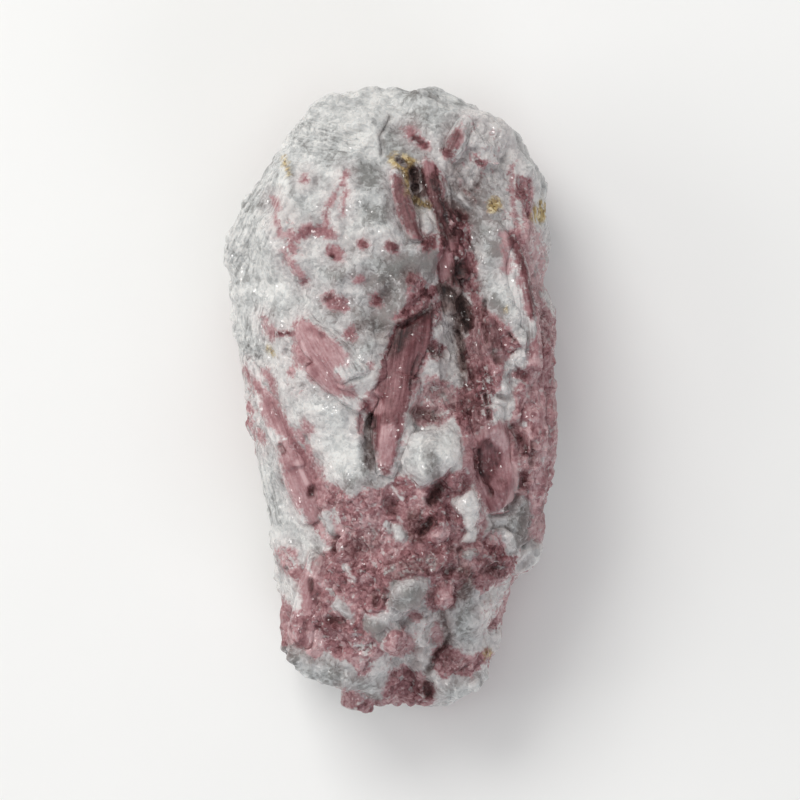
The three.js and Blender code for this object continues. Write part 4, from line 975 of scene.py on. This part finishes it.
def mineral_colours(tree, colours, streak):
    """The stone's shared colour pattern, from the fields of each piece and the grain of the minerals."""
    place = put(tree, "TexCoord").outputs["Object"]
    drawn = put(tree, "Attribute", attribute_name="drawn").outputs["Vector"]
    field = {name: put(tree, "Attribute", attribute_name=name).outputs["Fac"] for name in KEPT_FIELDS}
    # Each noise with the size of its lumps in millimetres, its detail and its roughness
    ragged, speckle, lump, waver = (
        put(
            tree, "TexNoise",
            {"Vector": place, "Scale": 1 / (size * MM), "Detail": detail, "Roughness": roughness},
        )
        for size, detail, roughness in ((1.5, 5, 0.62), (0.34, 3, 0.5), (3.2, 6, 0.6), (0.8, 3, 0.5))
    )
    fibre = put(tree, "TexNoise", {"Vector": drawn, "Scale": 1 / streak, "Detail": 4, "Roughness": 0.55})
    # Grains with bent edges, each with its own random numbers: shards, crystals and crumbs
    bent = put(tree, "VectorMath", (waver.outputs["Color"], (0.9 * MM,) * 3, place), operation="MULTIPLY_ADD")
    shards, crystals, crumbs = (
        put(tree, "TexVoronoi", {"Vector": bent, "Scale": 1 / (size * MM)}) for size in (1.9, 0.85, 0.4)
    )
    shard, crystal, crumb = (
        put(tree, "SeparateColor", [cells.outputs["Color"]]).outputs for cells in (shards, crystals, crumbs)
    )
    seams = put(tree, "TexVoronoi", {"Vector": bent, "Scale": 1 / (2.7 * MM)}, feature="DISTANCE_TO_EDGE")

    # Where the pink begins: the marks' edge, made ragged by the grain of the stone
    fine = -0.92
    for source, share in ((ragged, 1.8), (speckle, 0.6)):
        fine = put(tree, "Math", (source, share, fine), operation="MULTIPLY_ADD")
    edge = put(tree, "Math", (field["pink"], fine), operation="ADD")
    edge = put(tree, "Math", (crumb["Blue"], 0.4, edge), operation="MULTIPLY_ADD")
    crisp = put(tree, "Math", (field["grain"], 1), operation="ADD")
    crisp = put(tree, "Math", (edge, crisp), operation="MULTIPLY")
    is_pink = put(
        tree, "MapRange", {"Value": crisp, "From Min": -0.15, "From Max": 0.85},
        interpolation_type="SMOOTHSTEP",
    )

    # The pink's depth: its tone, each grain's own, the fibres and a cloudiness, and paler near its edge
    own = -0.57
    for source, share in ((crumb["Red"], 0.45), (crystal["Red"], 0.7)):
        own = put(tree, "Math", (source, share, own), operation="MULTIPLY_ADD")
    own = put(tree, "Math", (own, field["grain"]), operation="MULTIPLY")
    along = put(tree, "Math", (fibre, 0.5), operation="SUBTRACT")
    depth = field["tone"]
    for source, share in ((own, 0.6), (along, 0.85), (fine, -0.3), (speckle, 0.5)):
        depth = put(tree, "Math", (source, share, depth), operation="MULTIPLY_ADD")
    rim = put(tree, "MapRange", {"Value": edge, "From Max": 1.3, "To Min": -0.42, "To Max": -0.3})
    depth = put(tree, "Math", (depth, rim), operation="ADD")
    pinks = put(tree, "ValToRGB", [depth])
    ramp(pinks, (-0.1, colours.pale_pink), (0.42, colours.pink), (0.78, colours.plum), (1.1, colours.maroon))

    # The white ground: cloudy quartz and whiter feldspar, in shards with pale seams, greyed by the grey
    # field, which in places is painted shade
    streaks = put(tree, "Math", (along, field["fibre"]), operation="MULTIPLY")
    seam = put(tree, "MapRange", {"Value": seams, "From Max": 0.035, "To Min": 1, "To Max": 0})
    seam = put(tree, "Math", (seam, ragged), operation="MULTIPLY")
    haze = put(tree, "Math", (field["grey"], -1.25), operation="ADD")
    for source, share in (
        (lump, 1.5), (shard["Green"], 0.3), (crumb["Green"], 0.4), (crystal["Green"], 0.3), (streaks, 2.2),
        (seam, -0.35),
    ):
        haze = put(tree, "Math", (source, share, haze), operation="MULTIPLY_ADD")
    whites = put(tree, "ValToRGB", [haze])
    ramp(whites, (0, colours.feldspar), (0.5, colours.quartz), (1, colours.smoky))

    # White specks in the granular pink, and a faint blush round the pink
    speck = put(
        tree, "MapRange", {"Value": waver, "From Min": 0.57, "From Max": 0.69, "To Max": 0.55},
        interpolation_type="SMOOTHSTEP",
    )
    speck = put(tree, "Math", (speck, field["grain"]), operation="MULTIPLY")
    kept = put(tree, "Math", (1, speck), operation="SUBTRACT")
    share = put(tree, "Math", (is_pink, kept), operation="MULTIPLY")
    blush = put(
        tree, "MapRange", {"Value": edge, "From Min": -1.8, "From Max": 0.3, "To Max": 0.18},
        interpolation_type="SMOOTHSTEP",
    )
    share = put(tree, "Math", (share, blush), operation="MAXIMUM")
    colour = put(tree, "Mix", {"Factor": share, "A": whites, "B": pinks}, data_type="RGBA")

    # Ochre stains, and over them a brown film of dirt between the grains and painted shade in the gully and
    # the recesses, streaked along the fibres
    stain = put(tree, "Math", (field["ochre"], fine), operation="ADD")
    stain = put(
        tree, "MapRange", {"Value": stain, "From Min": -0.1, "From Max": 0.7, "To Max": 0.95},
        interpolation_type="SMOOTHSTEP",
    )
    rust = put(tree, "ValToRGB", [crumb["Red"]])
    ramp(rust, (0, colours.dark_ochre), (0.6, colours.ochre), (1, colours.pale_ochre))
    colour = put(tree, "Mix", {"Factor": stain, "A": colour, "B": rust}, data_type="RGBA")
    dirt_and_shade = 0.68
    for source, share in ((along, 1.5), (crumb["Green"], 0.5), (crystal["Blue"], 0.5)):
        dirt_and_shade = put(tree, "Math", (source, share, dirt_and_shade), operation="MULTIPLY_ADD")
    dirt_and_shade = put(tree, "Math", (dirt_and_shade, field["dirt_and_shade"]), operation="MULTIPLY")
    third = put(tree, "Math", (dirt_and_shade, 3), operation="DIVIDE")
    film = put(tree, "ValToRGB", [third])
    ramp(film, *zip((0, 0.33, 0.67, 1), DIRT_AND_SHADE_FILM))
    return {
        "place": place, "drawn": drawn, "crystals": crystals, "crumbs": crumbs, "speckle": speckle,
        "colour": put(tree, "VectorMath", (colour, film), operation="MULTIPLY"),
        "gloss": put(tree, "Math", (crystal["Blue"], dirt_and_shade), operation="SUBTRACT", use_clamp=True),
        "crumbly": put(tree, "Math", (field["grain"], 0.45, 0.4), operation="MULTIPLY_ADD"),
        "fibrous": field["fibre"],
    }


def ramp(node, *stops):
    """Sets the stops of a colour ramp; their places run from 0 to 1 and the first and last may lie beyond."""
    elements = node.color_ramp.elements
    while len(elements) < len(stops):
        elements.new(0.5)
    for element, (position, colour) in zip(elements, stops):
        element.position = min(max(position, 0), 1)
        element.color = (*colour, 1)


def glints(tree, place, share):
    """Small flat cleavage faces, each turned its own way, that flash where they meet the light."""
    # The real ones are mostly finer than the render shows, so these are 0.24 mm wide
    faces = put(tree, "TexVoronoi", {"Vector": place, "Scale": 1 / (0.24 * MM)}).outputs["Color"]
    turn = put(tree, "VectorMath", (faces, (0.5, 0.5, 0.5)), operation="SUBTRACT")
    level = put(tree, "NewGeometry").outputs["Normal"]
    face = put(tree, "VectorMath", (turn, (1.1, 1.1, 1.1), level), operation="MULTIPLY_ADD")
    face = put(tree, "VectorMath", [face], operation="NORMALIZE")
    chance = put(tree, "SeparateColor", [faces]).outputs["Green"]
    swarm = put(tree, "TexNoise", {"Vector": place, "Scale": 1 / (2.4 * MM), "Detail": 2})
    weight = put(tree, "Math", (chance, 0.5, swarm), operation="MULTIPLY_ADD")
    weight = put(tree, "Math", (weight, 1.1 - share), operation="GREATER_THAN")
    return {"Coat Weight": weight, "Coat Roughness": 0.09, "Coat IOR": 1.75, "Coat Normal": face}


def surface(tree, look, bumps, dull, shiny, share, inner):
    """A mineral's surface: its bumps in turn, its roughness, its share of glinting faces and its depth."""
    dents = {}
    for height, strength, depth, invert in bumps:
        sources = {"Height": height, "Strength": strength, "Distance": depth * MM, **dents}
        dents = {"Normal": put(tree, "Bump", sources, invert=invert)}
    rough = put(tree, "MapRange", {"Value": look["gloss"], "To Min": dull, "To Max": shiny})
    outer = {"Base Color": look["colour"], "Roughness": rough, "Specular IOR Level": 0.35, **dents}
    shader = put(tree, "BsdfPrincipled", {**outer, **inner, **glints(tree, look["place"], share)})
    put(tree, "OutputMaterial", {"Surface": shader})


def broken_rock(colours):
    """Broken quartz and feldspar with granular rubellite: sugary and dull, with small glinting faces."""
    material, tree = new_material("broken quartz and feldspar rock")
    look = mineral_colours(tree, colours, 0.42)
    sugar = put(
        tree, "TexNoise", {"Vector": look["place"], "Scale": 1 / (0.5 * MM), "Detail": 5, "Roughness": 0.7}
    )
    hairs = put(tree, "TexNoise", {"Vector": look["drawn"], "Scale": 1 / 0.3, "Detail": 3})
    bumps = (
        (look["crystals"], look["crumbly"], 0.22, True),
        (look["crumbs"], look["crumbly"], 0.12, True),
        (sugar, 0.6, 0.24, False),
        (hairs, look["fibrous"], 0.4, False),
    )
    # Light goes about a millimetre into the cloudy quartz, which softens the shadows of its grains
    inner = {
        "IOR": 1.54, "Subsurface Weight": 0.45, "Subsurface Radius": (1, 0.9, 0.85),
        "Subsurface Scale": 0.8 * MM,
    }
    surface(tree, look, bumps, 0.85, 0.35, 0.16, inner)
    return material


def striated_tourmaline(colours):
    """Striated rubellite prisms: glassy on their long ridges, in streaks of pink and plum."""
    material, tree = new_material("striated rubellite tourmaline")
    look = mineral_colours(tree, colours, 0.38)
    ridges = put(tree, "TexNoise", {"Vector": look["drawn"], "Scale": 1 / 0.22, "Detail": 3})
    bumps = ((ridges, 0.6, 0.16, False), (look["speckle"], 0.4, 0.08, False))
    inner = {
        "IOR": 1.63, "Subsurface Weight": 0.2, "Subsurface Radius": (1, 0.6, 0.6),
        "Subsurface Scale": 0.4 * MM,
    }
    surface(tree, look, bumps, 0.6, 0.22, 0.14, inner)
    return material


def studio_board(colours):
    """Matt painted board: even and pale, with the faintest mottling."""
    material, tree = new_material("matt painted board")
    place = put(tree, "TexCoord").outputs["Object"]
    mottle = put(tree, "TexNoise", {"Vector": place, "Scale": 1 / (30 * MM), "Detail": 2})
    shade = put(tree, "MapRange", {"Value": mottle, "To Min": 0.97, "To Max": 1})
    colour = put(tree, "VectorMath", {0: colours.floor[:], "Scale": shade}, operation="SCALE")
    shader = put(tree, "BsdfPrincipled", {"Base Color": colour, "Roughness": 0.9})
    put(tree, "OutputMaterial", {"Surface": shader})
    return material


def prism_faces():
    """A tree of all the prisms' CAD faces, to measure from."""
    corners, faces = [], []
    for name in PRISMS:
        mesh = frame["nodes"][name].data
        start = len(corners)
        corners += [v.co.copy() for v in mesh.vertices]
        faces += [[start + i for i in face.vertices] for face in mesh.polygons]
    return BVHTree.FromPolygons(corners, faces)


def crag(points, normals, fields, near_prism):
    """The stone's skin broken up: fractures, grains, fibres and recesses, on its soft form."""
    fibrous, drawn = fibre_run(points)
    lift = sum(facets(points, *fracture) for fracture in FRACTURES)
    lift += facets(points, *FINE_FRACTURES) * (1 - fibrous)
    clasts = -0.3
    for size, step, groove, salt in CLASTS:
        cell, _, gap = grains(points, size, salt)
        clasts += step * (hashed(cell, salt + 6) - 0.5) + groove * smooth(gap, 0, 0.4 * size)
    lift += fields["grain"] * clasts
    lift += fibrous * (0.28 * cloud(drawn, 1.4, 211, 1) + 0.24 * cloud(drawn, 0.7, 213, 1))
    lift += 0.22 * cloud(points, 5, 223, 3) + 0.16 * cloud(points, 2.2, 227, 2)
    lift -= fields["sink"]
    # Where a prism lies the skin is lower and calmer, so that the prism stands out of it
    beside = smooth(-near_prism, -0.8, -0.4)
    lift -= beside * (0.4 + 0.8 * lift)
    # The steep sides hardly rise past the solid, and break into facets of their own
    side = smooth(-np.abs(normals[:, 2]), -0.5, -0.1)
    lift -= side * (0.2 + 0.6 * np.maximum(lift, 0))
    lift += side * facets(points, *SIDE_FRACTURES)
    # The resting face stays flat
    return points + normals * (lift * smooth(points[:, 2], 0.1, 1.4))[:, None]


def thin(skin, share):
    """Brings a skin down to a share of its triangles, most of them taken where the skin faces down."""
    group = skin.vertex_groups.new(name="hidden")
    _, normals = read_points(skin)
    for weight in (0.25, 0.5, 0.75, 1.0):
        band = np.flatnonzero(np.abs(0.5 - 0.5 * normals[:, 2] - weight + 0.125) <= 0.125)
        group.add(band.tolist(), weight, "REPLACE")
    apply(skin, "DECIMATE", ratio=share, vertex_group=group.name, vertex_group_factor=1.0)
    skin.vertex_groups.clear()


class SPECIMEN_OT_matrix(bpy.types.Operator):
    """Make the broken skin of the stone from its plain solids"""

    bl_idname = "specimen.matrix"
    bl_label = "Quartz and feldspar matrix"

    def execute(self, context):
        sizes, colours = context.scene.specimen_sizes, context.scene.specimen_colours
        tree = prism_faces()
        skin = remeshed([STONE, *PRISMS], "matrix_skin", sizes.seat, sizes.voxel, 9)
        points, normals, fields = mark(skin, tree)
        write_points(skin, crag(points, normals, fields, distances(points, tree)))
        apply(skin, "SMOOTH", factor=0.5, iterations=2)
        count = sum(len(face.vertices) - 2 for face in skin.data.polygons)
        if count < FEWEST_FACES:
            raise RuntimeError("the stone's skin came out empty")
        if count > sizes.most_faces:
            thin(skin, sizes.most_faces / count)
        points, _, fields = mark(skin, tree)
        fields["fibre"], fields["drawn"] = fibre_run(points)
        finish_piece(skin, STONE, broken_rock(colours), fields, 50)
        return {"FINISHED"}


class SPECIMEN_OT_prisms(bpy.types.Operator):
    """Make the rubellite prisms, striated along their length and broken at their ends"""

    bl_idname = "specimen.prisms"
    bl_label = "Rubellite prisms"

    def execute(self, context):
        sizes, colours = context.scene.specimen_sizes, context.scene.specimen_colours
        material = striated_tourmaline(colours)
        tree = prism_faces()
        for number, node in enumerate(PRISMS):
            piece = remeshed([node], node + "_crystal", sizes.seat, sizes.prism_voxel, 12)
            points, normals, fields = mark(piece, tree)
            middle = points.mean(0)
            _, _, axes = np.linalg.svd((points - middle)[::7], full_matrices=False)
            drawn = (points - middle) @ axes.T * PRISM_STRETCH + PRISM_APART * number
            lift = 0.05 + 0.18 * cloud(drawn, 0.7, 301, 2) + 0.26 * cloud(drawn, 2.2, 307, 1)
            lift += 0.08 * cloud(points, 2.4, 311, 2)
            lift += fields["grain"] * facets(points, *STUB_FRACTURES)
            lift -= 0.6 * fields["sink"]
            write_points(piece, points + normals * lift[:, None])
            fields |= {"fibre": np.ones(len(points)), "drawn": drawn}
            finish_piece(piece, node, material, fields, 40)
        return {"FINISHED"}


class SPECIMEN_OT_stage(bpy.types.Operator):
    """Make the floor, the lights and the camera"""

    bl_idname = "specimen.stage"
    bl_label = "Stage"

    def execute(self, context):
        sizes, colours = context.scene.specimen_sizes, context.scene.specimen_colours
        bpy.ops.object.select_all(action="DESELECT")
        bpy.ops.mesh.primitive_circle_add(
            vertices=96, radius=3, fill_type="NGON", location=(0, 0, -FLOOR_GAP * MM)
        )
        floor = context.object
        floor.name = "floor"
        floor.data.materials.append(studio_board(colours))

        for name, (place, breadth, power, tint) in LIGHTS.items():
            light = bpy.data.lights.new(name, "AREA")
            light.size = breadth
            light.energy = power
            light.color = linear(tint)
            lamp = bpy.data.objects.new(name, light)
            context.collection.objects.link(lamp)
            lamp.location = place
            lamp.rotation_euler = (-Vector(place)).to_track_quat("-Z", "Y").to_euler()

        world = bpy.data.worlds.new("studio")
        world.use_nodes = True
        sky = world.node_tree.nodes["Background"].inputs
        sky["Color"].default_value = (*linear("#f6f6f6"), 1)
        sky["Strength"].default_value = 0.42
        context.scene.world = world

        camera = bpy.data.cameras.new("camera")
        camera.lens, camera.sensor_width, camera.clip_end = LENS, SENSOR, 10
        eye = bpy.data.objects.new("camera", camera)
        context.collection.objects.link(eye)
        distance = sizes.field_of_view * LENS / SENSOR
        eye.location = Vector(AIM) * MM + Vector((0, 0, distance))
        context.scene.camera = eye
        context.scene.view_settings.view_transform = "Standard"
        return {"FINISHED"}


class SPECIMEN_PT_sidebar(bpy.types.Panel):
    """The specimen's pieces in the sidebar"""

    bl_idname = "SPECIMEN_PT_sidebar"
    bl_label = "Rubellite specimen"
    bl_space_type = "VIEW_3D"
    bl_region_type = "UI"
    bl_category = "Specimen"

    def draw(self, context):
        for group in (context.scene.specimen_sizes, context.scene.specimen_colours):
            for name in group.bl_rna.properties.keys():
                if name not in ("rna_type", "name"):
                    self.layout.prop(group, name)
        for operator in OPERATORS:
            self.layout.operator(operator.bl_idname)


OPERATORS = (SPECIMEN_OT_matrix, SPECIMEN_OT_prisms, SPECIMEN_OT_stage)
CLASSES = (SpecimenSizes, SpecimenColours, *OPERATORS, SPECIMEN_PT_sidebar)


def register():
    for cls in CLASSES:
        bpy.utils.register_class(cls)
    bpy.types.Scene.specimen_sizes = PointerProperty(type=SpecimenSizes)
    bpy.types.Scene.specimen_colours = PointerProperty(type=SpecimenColours)


def unregister():
    del bpy.types.Scene.specimen_sizes
    del bpy.types.Scene.specimen_colours
    for cls in reversed(CLASSES):
        bpy.utils.unregister_class(cls)


def main():
    """Makes the pieces and the stage."""
    register()
    bpy.ops.specimen.matrix()
    bpy.ops.specimen.prisms()
    bpy.ops.specimen.stage()


if __name__ == "__main__":
    main()
